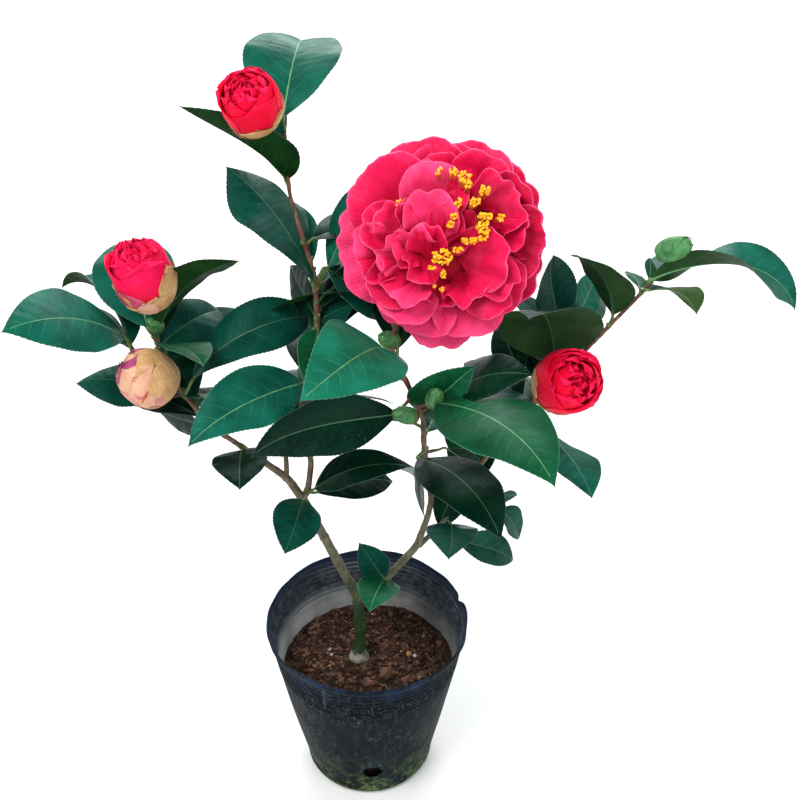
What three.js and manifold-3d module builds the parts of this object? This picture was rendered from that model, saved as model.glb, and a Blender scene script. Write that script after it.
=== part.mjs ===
// A young camellia shrub with one open bloom and four buds, growing in a
// round nursery pot. Millimetres, +Z up, origin at the centre of the pot's
// underside. Headings are degrees round +Z from +X, rises are degrees above
// the horizontal.
import * as THREE from 'three';
import { mergeVertices } from 'three/addons/utils/BufferGeometryUtils.js';
import Module from 'manifold-3d';

const wasm = await Module();
wasm.setup();

// ---- driving dimensions -------------------------------------------------
const POT_HEIGHT = 127;
const POT_RIM_RADIUS = 70;
const POT_FOOT_RADIUS = 45.5;
const POT_FOOT_ROUND = 7;       // radius of the turn from wall to underside
const POT_WALL = 1.2;
const POT_BASE = 2;
const POT_LIP = 5;              // height of the lip at the rim
const POT_RIB_COUNT = 3;        // rings pressed in below the lip
const POT_RIB_PITCH = 6.5;
const POT_RIB_DEPTH = 0.8;
const DRAIN_COUNT = 4;
const DRAIN_RADIUS = 5;
const DRAIN_HEIGHT = 26.5;       // above the underside
const DRAIN_HEADING = -86;      // heading of the first hole
const SOIL_LEVEL = 85;
const SOIL_MOUND = 2;           // rise of the soil towards the stem
const GAP = 0.3;                // left between touching pieces
const SHORT_EDGE = 0.25;        // edges shorter than this are drawn in after cutting
const NEEDLE = 0.02;            // height of a triangle that is turned away

const STEM_FLARE = 3.2;         // extra radius at the cut foot
const STEM_COLLAR = 0.9;        // swelling of the graft collar
const STEM_COLLAR_AT = 0.16;    // its place along the stem
const CORE_EXTRA = 1.2;         // foliage core round a limb
const CORE_SIDES = 5;
const LEAF_THICK = 4.0;         // leaf lobe thickness at the midrib
const STALK_RADIUS = 1.6;
const SHORT_STALK = 5;           // below this a blade leaves its limb directly
const LEAF_WIDEST = 0.47;       // place of the widest point along a blade
const LEAF_STATIONS = [0.3125, 0.6875];

const BLOOM_CENTRE = [43.4, -22, 410];
const BLOOM_FACING = [-0.04, -0.922, 0.383];
const BLOOM_RADIUS = 55;
const BLOOM_PROFILE = [         // [along the facing axis, share of the radius]
  [-31, 0.10], [-25, 0.30], [-15, 0.70], [-6, 0.93], [2, 0.99], [10, 0.88], [17, 0.66], [22, 0.34],
];
const BLOOM_LOBES = 7;
const BLOOM_WAVE = 0.035;

// centre, axis from stalk to crown, length, radius, ruffle at the crown
const BUDS = {
  bud_red_left: { centre: [-119, -9, 386.5], axis: [-0.10, -0.45, 0.89], length: 43, radius: 18.3, ruffle: 0.06 },
  bud_closed: { centre: [-121.5, -14, 325.5], axis: [-0.45, -0.62, 0.45], length: 36, radius: 17.3, ruffle: 0 },
  bud_red_top: { centre: [-53, 6, 477.5], axis: [-0.20, -0.74, 0.64], length: 39, radius: 18.2, ruffle: 0.06 },
  bud_red_right: { centre: [119.5, -8, 319], axis: [0.14, -0.77, 0.62], length: 45, radius: 20.3, ruffle: 0.06 },
  bud_green_tip: { centre: [174, 17, 392], axis: [0.85, -0.15, 0.50], length: 25, radius: 8.6, ruffle: 0 },
};

// ---- limbs ----------------------------------------------------------------
// Each limb is one tapering run: where it starts, its radius at both ends and
// its steps as [length, heading, rise].
const LIMBS = {
  stem: { // main stem, from the graft collar to the fork
    from: [-6.5, 2, 87.3], radii: [4.6, 3.7],
    steps: [[26.6, -14, 86], [31.1, -132, 86]],
  },
  left: { // left bough, fork to the red bud at its end
    from: [-5.8, 0, 144.9], radii: [3.3, 1],
    steps: [[93.8, -162, 70], [22.9, -168, 64], [38, -174, 44], [16.2, 167, 32], [12.5, 161, 44], [21.6, 155, 49], [13.8, 141, 55], [11.1, 152, 67], [11.5, 156, 78]],
  },
  leftTwig: { // side twig behind the closed pale bud
    from: [-107.8, -3, 312], radii: [1, 0.8],
    steps: [[12.2, 138, 10], [10.7, 161, 29], [8.8, -168, 57], [9.5, -139, 61]],
  },
  centre: { // upright centre bough to the topmost bud
    from: [-37.6, -10, 236], radii: [2, 0.85],
    steps: [[8.1, -8, 64], [22.3, -27, 81], [34.2, -174, 82], [55.9, 42, 74], [26.3, 94, 81], [49.5, 142, 71], [32.3, 106, 83]],
  },
  inner: { // short inner shoot
    from: [-47.7, -12, 252], radii: [1.7, 1.1],
    steps: [[4, 0, 69], [12.6, 0, 89], [23.7, 111, 69]],
  },
  right: { // right bough, fork to the open bloom
    from: [-3.8, 0, 143.1], radii: [2.7, 1.7],
    steps: [[31.3, 3, 48], [27.2, 7, 52], [27.3, -8, 75], [12.9, -31, 81], [46.8, -131, 80], [24.4, -104, 80], [35.2, -176, 67], [11.7, 156, 65], [11.4, 77, 63], [13.1, 48, 44], [41.5, 10, 62]],
  },
  outer: { // outer right bough to the furthest tip
    from: [35.1, 4, 186.8], radii: [1.7, 0.9],
    steps: [[34.9, 10, 48], [36.1, 21, 63], [51.5, 10, 54], [35.5, 5, 50], [56.3, -3, 53], [25.6, -13, 60]],
  },
};
// The bare stretches of the limbs, between the fork and the foliage, as
// [limb, from, to] in shares of the limb's length.
const STRETCHES = {
  stem: ['stem', 0, 1],
  bough_left: ['left', 0, 0.63],
  bough_right: ['right', 0, 0.486],
  bough_centre: ['centre', 0, 0.28],
  bough_inner: ['inner', 0, 0.62],
  bough_top: ['centre', 0.755, 0.87],
  bough_outer: ['outer', 0, 0.112],
  bough_outer_mid: ['outer', 0.262, 0.375],
  bough_tip: ['outer', 0.815, 0.885],
};

// ---- masses of foliage ------------------------------------------------------
// Each mass grows round one stretch of a limb. Its lobes are broad blades:
// [place on the limb, stalk length, stalk heading, stalk rise,
//  heading, rise, roll, length, width, arch, sweep, fold, twist, curl]
// and the lobes behind follow a seeded rule.
const MASSES = {
  foliage_left_tip: {
    limb: 'leftTwig', from: 0.12, to: 1, behind: { from: 0.45, to: 0.9, count: 2, seed: 472 },
    leaves: [
      [0.903, 12.5, -139, 67, -117, 50, -44, 84, 46, 41, 18, 4, 5, 19],
      [0.903, 4.7, 178, 63, 107, 51, 55, 74, 35, 68, 2, 23, -12, 37],
    ],
  },
  foliage_left_bud: {
    limb: 'left', from: 0.866, to: 1, behind: { from: 0.9, to: 0.99, count: 3, seed: 1277 },
    leaves: [
      [0.983, 8, -127, 63, 120, 57, -12, 73, 49, 51, -8, 10, -4, 25],
      [0.983, 6.9, -5, 57, 10, 67, -44, 75, 39, 60, 8, 25, -16, -6],
      [0.933, 5.3, 113, 46, 35, 32, 43, 56, 32, 54, -8, 7, -10, 30],
      [0.943, 6.2, -55, 49, -40, 27, -21, 54, 31, 32, -11, 9, 4, 9],
    ],
  },
  foliage_left_mid: {
    limb: 'left', from: 0.63, to: 0.864, behind: { from: 0.66, to: 0.83, count: 4, seed: 1373 },
    leaves: [
      [0.818, 12.2, -21, 63, 6, 59, 8, 95, 36, 77, -8, 15, 66, 35],
      [0.728, 18.4, 126, -28, 144, -12, -88, 43, 23, 8, -6, 2, -3, 0],
      [0.758, 12.8, 114, -10, 72, 4, -12, 39, 22, 21, 0, 9, -4, 2],
      [0.823, 18.1, 148, -26, -174, 38, -25, 58, 33, 46, 6, -2, 3, 29],
      [0.63, 2, -76, -19, -87, 24, 12, 47, 33, 33, 3, 11, -18, 9],
    ],
  },
  foliage_inner_left: {
    limb: 'inner', from: 0.62, to: 1, behind: { from: 0.7, to: 0.98, count: 4, seed: 1223 },
    leaves: [],
  },
  foliage_low_centre: {
    limb: 'centre', from: 0.03, to: 0.03,
    leaves: [
      [0.033, 8.9, -48, 37, -17, 49, 27, 68, 30, 53, -5, 12, -15, 9],
      [0.03, 6.6, -25, 12, 20, 10, 22, 58, 27, 40, 0, 10, 8, 16],
      [0.03, 12, -99, 13, -91, 10, -21, 48, 30, 32, -3, 14, 2, -2],
    ],
  },
  foliage_inner: {
    limb: 'centre', from: 0.28, to: 0.498, behind: { from: 0.3, to: 0.47, count: 4, seed: 1667 },
    leaves: [
      [0.368, 11.3, -94, 35, -136, 11, -45, 78, 40, 36, 11, 11, 31, 18],
    ],
  },
  foliage_centre: {
    limb: 'centre', from: 0.5, to: 0.658, behind: { from: 0.53, to: 0.63, count: 3, seed: 2194 },
    leaves: [
      [0.508, 7.5, -73, 37, -90, -7, -35, 42, 22, 22, 0, 9, 1, 5],
      [0.533, 4.3, -119, 70, 117, 20, -81, 50, 23, 8, 7, 3, 18, 9],
      [0.543, 4.2, 103, 46, 83, 18, -4, 46, 23, 23, 0, 9, -1, 6],
      [0.518, 4.9, 65, 38, -4, 45, 20, 22, 25, 34, -3, 7, 11, 11],
      [0.628, 12.5, 46, 39, -3, 68, 35, 65, 31, 22, 2, 8, 6, 6],
      [0.628, 12, 47, 41, 6, -37, 37, 54, 27, 23, 0, 9, -3, 7],
    ],
  },
  foliage_upper: {
    limb: 'centre', from: 0.66, to: 0.755, behind: { from: 0.67, to: 0.75, count: 2, seed: 3539 },
    leaves: [
      [0.66, 8, -88, -22, 132, 65, 40, 84, 47, 48, -2, 10, -49, 0],
      [0.663, 5.7, 104, 24, 112, 25, -33, 53, 23, 15, -7, 7, -4, 1],
    ],
  },
  foliage_top: {
    limb: 'centre', from: 0.87, to: 1, behind: { from: 0.9, to: 0.97, count: 1, seed: 1530 },
    leaves: [
      [0.878, 4.1, 134, 68, -103, 43, 152, 99, 51, -40, 18, -9, 21, 38],
      [0.97, 15.3, -121, 89, 80, 52, -6, 76, 56, 49, 8, 13, 18, 30],
    ],
  },
  foliage_right_front: {
    limb: 'right', from: 0.486, to: 0.653, behind: { from: 0.51, to: 0.62, count: 3, seed: 1539 },
    leaves: [
      [0.566, 9.4, 90, 39, -86, 36, 145, 64, 33, 60, -10, 20, -19, 22],
      [0.611, 16.6, -14, 37, -39, 54, 25, 67, 36, 33, -11, 1, 10, 24],
      [0.626, 24.5, -61, 33, -54, 24, 9, 109, 57, 23, -11, -3, -13, 35],
      [0.501, 12.6, -109, 8, -53, 24, -3, 89, 44, 41, -9, 0, 0, 25],
      [0.495, 5.5, 94, -36, -123, -67, 44, 44, 22, 23, -1, 9, -3, 7],
      [0.495, 17, 33, -13, 17, -43, 91, 36, 16, 21, -8, 9, 2, 3],
    ],
  },
  foliage_front: {
    limb: 'right', from: 0.655, to: 0.783, behind: { from: 0.67, to: 0.76, count: 2, seed: 766 },
    leaves: [
      [0.756, 24.6, -104, 36, -101, 35, -25, 88, 49, 55, -2, 8, -22, 24],
      [0.655, 17, -126, -18, -156, 8, -94, 92, 43, 12, 15, 17, 1, -48],
    ],
  },
  foliage_under_bloom: {
    limb: 'right', from: 0.785, to: 0.95, behind: { from: 0.8, to: 0.92, count: 5, seed: 2390 },
    leaves: [],
  },
  foliage_right_low: {
    limb: 'outer', from: 0.112, to: 0.262, behind: { from: 0.126, to: 0.238, count: 4, seed: 1069 },
    leaves: [
      [0.115, 8.1, -75, 13, -88, 32, -4, 55, 33, 26, -11, 6, 4, 14],
      [0.115, 18.3, -20, -66, -5, -8, 42, 48, 24, 43, -6, 15, 8, 18],
      [0.173, 30.3, 12, -19, -2, -47, 30, 31, 23, 28, -4, 12, -6, 10],
      [0.203, 24.3, 18, -17, 19, -20, 98, 18, 11, 19, -1, 8, 1, 3],
      [0.233, 9.4, 86, 65, -147, -46, -25, 48, 24, 33, 4, 11, -1, 14],
    ],
  },
  foliage_right_mid: {
    limb: 'outer', from: 0.375, to: 0.815, behind: { from: 0.4, to: 0.8, count: 7, seed: 1501 },
    leaves: [
      [0.463, 14.5, -4, -18, 9, -48, 150, 71, 38, -4, -9, 17, -37, -28],
      [0.548, 20, -165, 51, 121, 36, -46, 45, 23, 29, -2, 11, 5, 11],
      [0.598, 5.7, 68, 29, 131, -9, -111, 45, 23, 23, 0, 9, 0, 6],
      [0.623, 11.2, -150, 60, -132, 81, 40, 77, 62, 46, -21, 2, -17, 39],
      [0.703, 21.2, 151, 44, -156, 72, -93, 59, 31, -9, 2, 20, 17, -32],
      [0.748, 16.6, 145, 47, 69, 18, 49, 45, 22, 3, -8, 9, 0, -6],
      [0.798, 8.3, 0, 78, -121, 74, -9, 68, 35, 45, -16, 14, -9, 10],
    ],
  },
  foliage_right_tip: {
    limb: 'outer', from: 0.885, to: 1, behind: { from: 0.9, to: 0.97, count: 1, seed: 5001 },
    leaves: [
      [0.908, 5.3, -112, 73, 89, 10, 19, 25, 15, 22, 0, 9, 0, 5],
      [0.938, 4, -37, 73, 75, 32, 38, 18, 10, 18, -1, 7, 1, 2],
      [0.943, 6.4, -92, 47, 15, 21, -47, 107, 42, 48, 32, 14, 26, 37],
      [0.918, 6, -64, 34, 28, -2, -14, 49, 28, 44, 14, 8, -14, 24],
    ],
  },
  foliage_foot: {
    limb: 'right', from: 0.09, to: 0.09,
    leaves: [
      [0.09, 6.1, -106, 38, -146, 65, -105, 34, 21, 31, 5, 11, 5, 8],
      [0.09, 8.4, -96, 35, -103, 28, -10, 37, 28, 38, 0, 12, 13, 12],
    ],
  },
};

// ---- small vector helpers -----------------------------------------------------
const V = (x, y, z) => new THREE.Vector3(x, y, z);
const rad = THREE.MathUtils.degToRad;
const way = (heading, rise) => V(
  Math.cos(rad(rise)) * Math.cos(rad(heading)),
  Math.cos(rad(rise)) * Math.sin(rad(heading)),
  Math.sin(rad(rise)),
);
const noise = (seed, i, j) => {
  const x = Math.abs(Math.sin(seed * 12.9898 + i * 78.233 + j * 37.719) * 43758.5453);
  return x - Math.floor(x);
};

// A closed skin over rings of equally many points, with flat fans at both ends.
function loft(rings) {
  const m = rings[0].length;
  const pos = [];
  const index = [];
  rings.forEach((ring) => ring.forEach((p) => pos.push(p.x, p.y, p.z)));
  for (let i = 0; i + 1 < rings.length; i++) {
    for (let j = 0; j < m; j++) {
      const a = i * m + j;
      const b = i * m + ((j + 1) % m);
      index.push(a, b, b + m, a, b + m, a + m);
    }
  }
  for (let j = 1; j + 1 < m; j++) {
    index.push(0, j + 1, j);
    const e = (rings.length - 1) * m;
    index.push(e, e + j, e + j + 1);
  }
  return oriented(pos, index);
}

function oriented(pos, index) {
  let volume = 0;
  for (let i = 0; i < index.length; i += 3) {
    const [a, b, c] = [0, 1, 2].map((k) => V(...pos.slice(index[i + k] * 3, index[i + k] * 3 + 3)));
    volume += a.dot(b.cross(c));
  }
  if (volume < 0) {
    for (let i = 0; i < index.length; i += 3) [index[i], index[i + 1]] = [index[i + 1], index[i]];
  }
  const g = new THREE.BufferGeometry();
  g.setAttribute('position', new THREE.Float32BufferAttribute(pos, 3));
  g.setIndex(index);
  return g;
}

function solid(geometry) {
  let g = geometry.clone();
  for (const name of Object.keys(g.attributes)) if (name !== 'position') g.deleteAttribute(name);
  g = mergeVertices(g, 1e-4);
  return new wasm.Manifold(new wasm.Mesh({
    numProp: 3,
    vertProperties: new Float32Array(g.attributes.position.array),
    triVerts: new Uint32Array(g.index.array),
  }));
}

function largest(body) {
  return body.decompose().reduce((a, b) => (a.volume() > b.volume() ? a : b));
}

// Draws in the edges that cutting leaves shorter than SHORT_EDGE, and turns
// the long edge of each needle-thin triangle, keeping the skin closed.
function tidied(points, faces) {
  const ring = points.map(() => new Set());
  faces.forEach((f, i) => f.forEach((v) => ring[v].add(i)));
  const gone = faces.map(() => false);
  const normal = (f, v, to) => {
    const [a, b, c] = f.map((k) => (k === v ? to : points[k]));
    return b.clone().sub(a).cross(c.clone().sub(a));
  };
  const near = (v) => {
    const out = new Set();
    ring[v].forEach((i) => faces[i].forEach((k) => k !== v && out.add(k)));
    return out;
  };
  const keepsShape = (v, other, to) => [...ring[v]].every((i) => {
    const f = faces[i];
    if (f.includes(other)) return true;
    const was = normal(f, v, points[v]);
    const now = normal(f, v, to);
    return now.length() > 1e-3 && (was.length() < 0.02 || was.dot(now) > 0.5 * was.length() * now.length());
  });
  const draw = (a, b) => {
    const shared = [...ring[a]].filter((i) => ring[b].has(i));
    const both = [...near(a)].filter((k) => near(b).has(k));
    if (shared.length !== 2 || both.length !== 2) return false;
    for (const to of [points[a].clone(), points[b].clone(), points[a].clone().lerp(points[b], 0.5)]) {
      if (!keepsShape(a, b, to) || !keepsShape(b, a, to)) continue;
      points[a] = to;
      shared.forEach((i) => { gone[i] = true; faces[i].forEach((k) => ring[k].delete(i)); });
      [...ring[b]].forEach((i) => { faces[i] = faces[i].map((k) => (k === b ? a : k)); ring[a].add(i); });
      ring[b].clear();
      return true;
    }
    return false;
  };
  const turn = (i) => {
    const f = faces[i];
    const size = [0, 1, 2].map((k) => points[f[k]].distanceTo(points[f[(k + 1) % 3]]));
    const k = size.indexOf(Math.max(...size));
    const [a, b, c] = [f[k], f[(k + 1) % 3], f[(k + 2) % 3]];
    if (normal(f, -1, null).length() / size[k] > NEEDLE) return false;
    const j = [...ring[a]].find((n) => n !== i && ring[b].has(n));
    const d = faces[j].find((n) => n !== a && n !== b);
    if (near(c).has(d)) return false;
    const flat = normal(faces[j], -1, null);
    const [p, q] = [[a, d, c], [d, b, c]];
    if (normal(p, -1, null).dot(flat) <= 0 || normal(q, -1, null).dot(flat) <= 0) return false;
    ring[a].delete(j); ring[b].delete(i); ring[c].add(j); ring[d].add(i);
    faces[i] = p; faces[j] = q;
    return true;
  };
  for (let pass = 0, moved = true; moved && pass < 12; pass++) {
    moved = false;
    for (let i = 0; i < faces.length; i++) {
      for (let k = 0; k < 3 && !gone[i]; k++) {
        const [a, b] = [faces[i][k], faces[i][(k + 1) % 3]];
        if (points[a].distanceTo(points[b]) < SHORT_EDGE && draw(a, b)) moved = true;
      }
      if (!gone[i] && turn(i)) moved = true;
    }
  }
  return faces.filter((f, i) => !gone[i]);
}

function geometryOf(body) {
  const mesh = body.getMesh();
  const points = [];
  for (let i = 0; i < mesh.vertProperties.length; i += 3) points.push(V(...mesh.vertProperties.subarray(i, i + 3)));
  const faces = [];
  for (let i = 0; i < mesh.triVerts.length; i += 3) faces.push([...mesh.triVerts.subarray(i, i + 3)]);
  const kept = tidied(points, faces);
  const place = new Map();
  const pos = [];
  const index = kept.flatMap((f) => f.map((v) => {
    if (!place.has(v)) {
      place.set(v, place.size);
      pos.push(points[v].x, points[v].y, points[v].z);
    }
    return place.get(v);
  }));
  const g = new THREE.BufferGeometry();
  g.setAttribute('position', new THREE.Float32BufferAttribute(pos, 3));
  g.setIndex(index);
  g.computeVertexNormals();
  return g;
}

// ---- limbs as tapering tubes ----------------------------------------------------
function limbPoints(limb) {
  const points = [V(...limb.from)];
  for (const [length, heading, rise] of limb.steps) {
    points.push(points[points.length - 1].clone().addScaledVector(way(heading, rise), length));
  }
  return points;
}

function limbShares(points) {
  const run = [0];
  for (let i = 1; i < points.length; i++) run.push(run[i - 1] + points[i].distanceTo(points[i - 1]));
  return run.map((s) => s / run[run.length - 1]);
}

function limbAt(limb, share) {
  const points = limbPoints(limb);
  const shares = limbShares(points);
  let i = 1;
  while (i < points.length - 1 && shares[i] < share) i++;
  const t = (share - shares[i - 1]) / (shares[i] - shares[i - 1]);
  return points[i - 1].clone().lerp(points[i], Math.min(1, Math.max(0, t)));
}

const limbRadius = (limb, share) => limb.radii[0] + (limb.radii[1] - limb.radii[0]) * Math.pow(share, 0.8);

function limbTube(limb, from, to, sides, extra, flare) {
  const points = limbPoints(limb);
  const inner = limbShares(points).filter((s) => s > from + 0.01 && s < to - 0.01);
  if (flare) inner.unshift(0.07, STEM_COLLAR_AT, STEM_COLLAR_AT + 0.09);
  const shares = [from, ...inner, to];
  const centres = shares.map((s) => limbAt(limb, s));
  let side = null;
  const rings = centres.map((c, i) => {
    const before = centres[Math.max(0, i - 1)];
    const after = centres[Math.min(centres.length - 1, i + 1)];
    const along = (flare && i === 0) ? V(0, 0, 1) : after.clone().sub(before).normalize();
    if (!side) side = Math.abs(along.y) < 0.9 ? V(0, 1, 0) : V(1, 0, 0);
    side = side.clone().addScaledVector(along, -side.dot(along)).normalize();
    const up = along.clone().cross(side);
    let r = limbRadius(limb, shares[i]) + extra;
    if (flare) {
      r += STEM_FLARE * Math.exp(-shares[i] / 0.07);
      r += STEM_COLLAR * Math.exp(-(((shares[i] - STEM_COLLAR_AT) / 0.06) ** 2));
    }
    return Array.from({ length: sides }, (_, k) => {
      const a = (2 * Math.PI * k) / sides;
      return c.clone().addScaledVector(side, r * Math.cos(a)).addScaledVector(up, r * Math.sin(a));
    });
  });
  return loft(rings);
}

// ---- a blade: thick along its midrib, thin at its margin -------------------------
const bladeWidth = (s) => {
  const body = s < LEAF_WIDEST
    ? Math.sin((Math.PI / 2) * (s / LEAF_WIDEST)) ** 0.8
    : Math.cos((Math.PI / 2) * ((s - LEAF_WIDEST) / (1 - LEAF_WIDEST))) ** 0.8;
  return body * ((1 - s) / (1 - s + 0.045)) * 1.045;
};

function blade(start, base, leaf, extra) {
  const T = way(leaf.heading, leaf.rise);
  const N = V(
    -Math.sin(rad(leaf.rise)) * Math.cos(rad(leaf.heading)),
    -Math.sin(rad(leaf.rise)) * Math.sin(rad(leaf.heading)),
    Math.cos(rad(leaf.rise)),
  );
  const S = N.clone().cross(T);
  N.applyAxisAngle(T, rad(leaf.roll));
  S.applyAxisAngle(T, rad(leaf.roll));
  const rings = [];
  // a flat-backed wedge with its ridge on the side that the fold leaves
  // convex; grown, its two sharp margins are blunted
  const hang = leaf.fold < 0 ? -1 : 1;
  const ring = (at, s, n, half, rise, thick) => {
    const point = (x, z) => at.clone().addScaledVector(s, x).addScaledVector(n, hang * z);
    const top = Math.abs(rise) + thick * 0.4;
    const out = half + extra;
    rings.push(extra > 0
      ? [point(out, top + extra), point(-out, top + extra), point(-out, top - extra), point(0, -thick - 1.1 * extra), point(out, top - extra)]
      : [point(half, top), point(-half, top), point(0, -thick)]);
  };
  const stalk = STALK_RADIUS;
  const lead = base.clone().sub(start).normalize();
  const across = S.clone().addScaledVector(lead, -S.dot(lead)).normalize();
  const over = lead.clone().cross(across);
  const pieces = [];
  ring(start, across, over, stalk, 0, stalk);
  if (lead.dot(T) < 0.5) {
    // the blade turns back from its stalk, so the two are made apart
    ring(base.clone().addScaledVector(lead, stalk), across, over, stalk, 0, stalk);
    pieces.push(loft(rings.splice(0)));
    ring(base.clone().addScaledVector(T, -stalk), S, N, stalk, 0, stalk);
  } else if (base.distanceTo(start) > SHORT_STALK) {
    ring(base, S, N, stalk, 0, stalk);
  }
  const parts = 16;
  const at = base.clone();
  for (let i = 1; i <= parts; i++) {
    const mid = (i - 0.5) / parts;
    const bend = rad(leaf.arch + leaf.curl * 3 * mid * mid) / parts;
    T.applyAxisAngle(S, bend);
    N.applyAxisAngle(S, bend);
    T.applyAxisAngle(N, rad(leaf.sweep) / parts);
    S.applyAxisAngle(N, rad(leaf.sweep) / parts);
    N.applyAxisAngle(T, rad(leaf.twist) / parts);
    S.applyAxisAngle(T, rad(leaf.twist) / parts);
    at.addScaledVector(T, leaf.length / parts);
    const s = i / parts;
    if (LEAF_STATIONS.some((x) => Math.abs(x - s) < 0.5 / parts)) {
      const half = (leaf.width / 2) * bladeWidth(s);
      const fold = rad(leaf.fold);
      ring(at, S, N, half * Math.cos(fold), half * Math.sin(fold), (LEAF_THICK / 2) * (1 - 0.55 * s));
    }
  }
  at.addScaledVector(T, extra);
  ring(at, S, N, 0.4, 0, 0.4);
  return [...pieces, loft(rings)];
}

function bladesOf(mass) {
  const limb = LIMBS[mass.limb];
  const given = mass.leaves.map(([at, stalk, sh, sr, heading, rise, roll, length, width, arch, sweep, fold, twist, curl]) => {
    const start = limbAt(limb, at);
    return { start, base: start.clone().addScaledVector(way(sh, sr), stalk), heading, rise, roll, length, width, arch, sweep, fold, twist, curl };
  });
  const behind = mass.behind;
  for (let i = 0; behind && i < behind.count; i++) {
    const u = Array.from({ length: 8 }, (_, j) => noise(behind.seed, i, j));
    const start = limbAt(limb, behind.from + ((behind.to - behind.from) * (i + 0.5)) / behind.count);
    const heading = 90 + 80 * (2 * u[0] - 1);
    const rise = 5 + 50 * u[1];
    const length = 56 + 24 * u[3];
    given.push({
      start,
      base: start.clone().addScaledVector(way(heading, Math.min(75, rise + 12)), 5.5 + 3.5 * u[7]),
      heading, rise, roll: 30 * (2 * u[2] - 1), length, width: length * (0.44 + 0.07 * u[4]),
      arch: 22 + 40 * u[5], sweep: 0, fold: 10, twist: 24 * (2 * u[6] - 1), curl: 8,
    });
  }
  return given;
}

function massSolid(mass, extra) {
  const limb = LIMBS[mass.limb];
  const blades = bladesOf(mass);
  let body;
  if (mass.to > mass.from) {
    body = solid(limbTube(limb, mass.from, mass.to, CORE_SIDES, CORE_EXTRA + extra, false));
  } else {
    // leaves that share one short shoot beside the limb
    const node = blades.reduce((sum, b) => sum.add(b.base), V(0, 0, 0)).divideScalar(blades.length);
    const knot = new THREE.IcosahedronGeometry(3.6 + extra, 0);
    knot.translate(node.x, node.y, node.z);
    body = solid(knot);
    blades.forEach((b) => { b.start = node; });
  }
  for (const b of blades) {
    if (b.start.distanceTo(b.base) < 1) b.start = b.start.clone().add(V(0, 0, -1.5));
    for (const piece of blade(b.start, b.base, b, extra)) body = body.add(solid(piece));
  }
  return largest(body);
}

// ---- bloom and buds ------------------------------------------------------------
function turned(profile, radius, centre, axis, segments, wave) {
  const along = V(...axis).normalize();
  const side = V(1, 0, 0).addScaledVector(along, -along.x).normalize();
  const up = along.clone().cross(side);
  const rings = profile.map(([z, share]) => Array.from({ length: segments }, (_, k) => {
    const a = (2 * Math.PI * k) / segments;
    const r = radius * share * (1 + wave(a, z));
    return V(...centre).addScaledVector(along, z)
      .addScaledVector(side, r * Math.cos(a)).addScaledVector(up, r * Math.sin(a));
  }));
  return loft(rings);
}

const bloom = (extra) => turned(
  BLOOM_PROFILE.map(([z, k], i) => [z + (i === 0 ? -extra : i === BLOOM_PROFILE.length - 1 ? extra : 0), k]),
  BLOOM_RADIUS + extra, BLOOM_CENTRE, BLOOM_FACING, 18,
  (a, z) => BLOOM_WAVE * Math.sin(BLOOM_LOBES * a + z * 0.05),
);

const bud = (b, extra) => turned(
  [-0.5, -0.36, 0, 0.3, 0.5].map((t) => [
    t * (b.length + 2 * extra),
    Math.max(0.24, Math.sqrt(Math.max(0, 1 - (2 * t) ** 2)) ** 0.85),
  ]),
  b.radius + extra, b.centre, b.axis, 9,
  (a, z) => (z > 0 ? b.ruffle * Math.cos(3 * a) : 0),
);

// ---- pot and soil ----------------------------------------------------------------
const potRadius = (z) => POT_FOOT_RADIUS
  + ((POT_RIM_RADIUS - 1.6 - POT_FOOT_RADIUS) * (z - POT_FOOT_ROUND)) / (POT_HEIGHT - POT_LIP - POT_FOOT_ROUND);

function potGeometry() {
  const outer = [];
  const inner = [];
  for (const a of [0, 45, 90]) {
    outer.push([POT_FOOT_RADIUS - POT_FOOT_ROUND + POT_FOOT_ROUND * Math.sin(rad(a)), POT_FOOT_ROUND * (1 - Math.cos(rad(a)))]);
  }
  const ribs = [];
  for (let i = POT_RIB_COUNT - 1; i >= 0; i--) ribs.push(POT_HEIGHT - POT_LIP - 2 - i * POT_RIB_PITCH);
  for (const z of ribs) {
    outer.push([potRadius(z - 1), z - 1], [potRadius(z) - POT_RIB_DEPTH, z]);
    inner.unshift([potRadius(z) - POT_RIB_DEPTH - POT_WALL, z], [potRadius(z - 1) - POT_WALL, z - 1]);
  }
  const z1 = POT_HEIGHT - POT_LIP;
  outer.push([potRadius(z1), z1], [POT_RIM_RADIUS, z1 + 1.5], [POT_RIM_RADIUS, POT_HEIGHT]);
  inner.unshift([POT_RIM_RADIUS - POT_WALL - 0.6, POT_HEIGHT], [potRadius(z1) - POT_WALL, z1]);
  inner.push([potRadius(POT_FOOT_ROUND + 2) - POT_WALL, POT_FOOT_ROUND + 2], [POT_FOOT_RADIUS - POT_FOOT_ROUND, POT_BASE]);
  const profile = [[0, 0], ...outer, ...inner, [0, POT_BASE]];
  const lathe = new THREE.LatheGeometry(profile.map(([r, z]) => new THREE.Vector2(r, z)), 22);
  lathe.rotateX(Math.PI / 2);
  let body = solid(facing(lathe));
  for (let i = 0; i < DRAIN_COUNT; i++) {
    const a = rad(DRAIN_HEADING + (360 * i) / DRAIN_COUNT);
    const hole = new THREE.CylinderGeometry(DRAIN_RADIUS, DRAIN_RADIUS, 20, 8);
    hole.rotateZ(Math.PI / 2);
    hole.scale(1, 1.25, 0.85);
    hole.rotateZ(a);
    hole.translate(POT_FOOT_RADIUS * Math.cos(a), POT_FOOT_RADIUS * Math.sin(a), DRAIN_HEIGHT);
    body = body.subtract(solid(hole));
  }
  return body;
}

// A lathe's faces may wind either way: turn them outward.
function facing(geometry) {
  let g = geometry.clone();
  for (const name of Object.keys(g.attributes)) if (name !== 'position') g.deleteAttribute(name);
  g = mergeVertices(g, 1e-4);
  return oriented(Array.from(g.attributes.position.array), Array.from(g.index.array));
}

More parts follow.
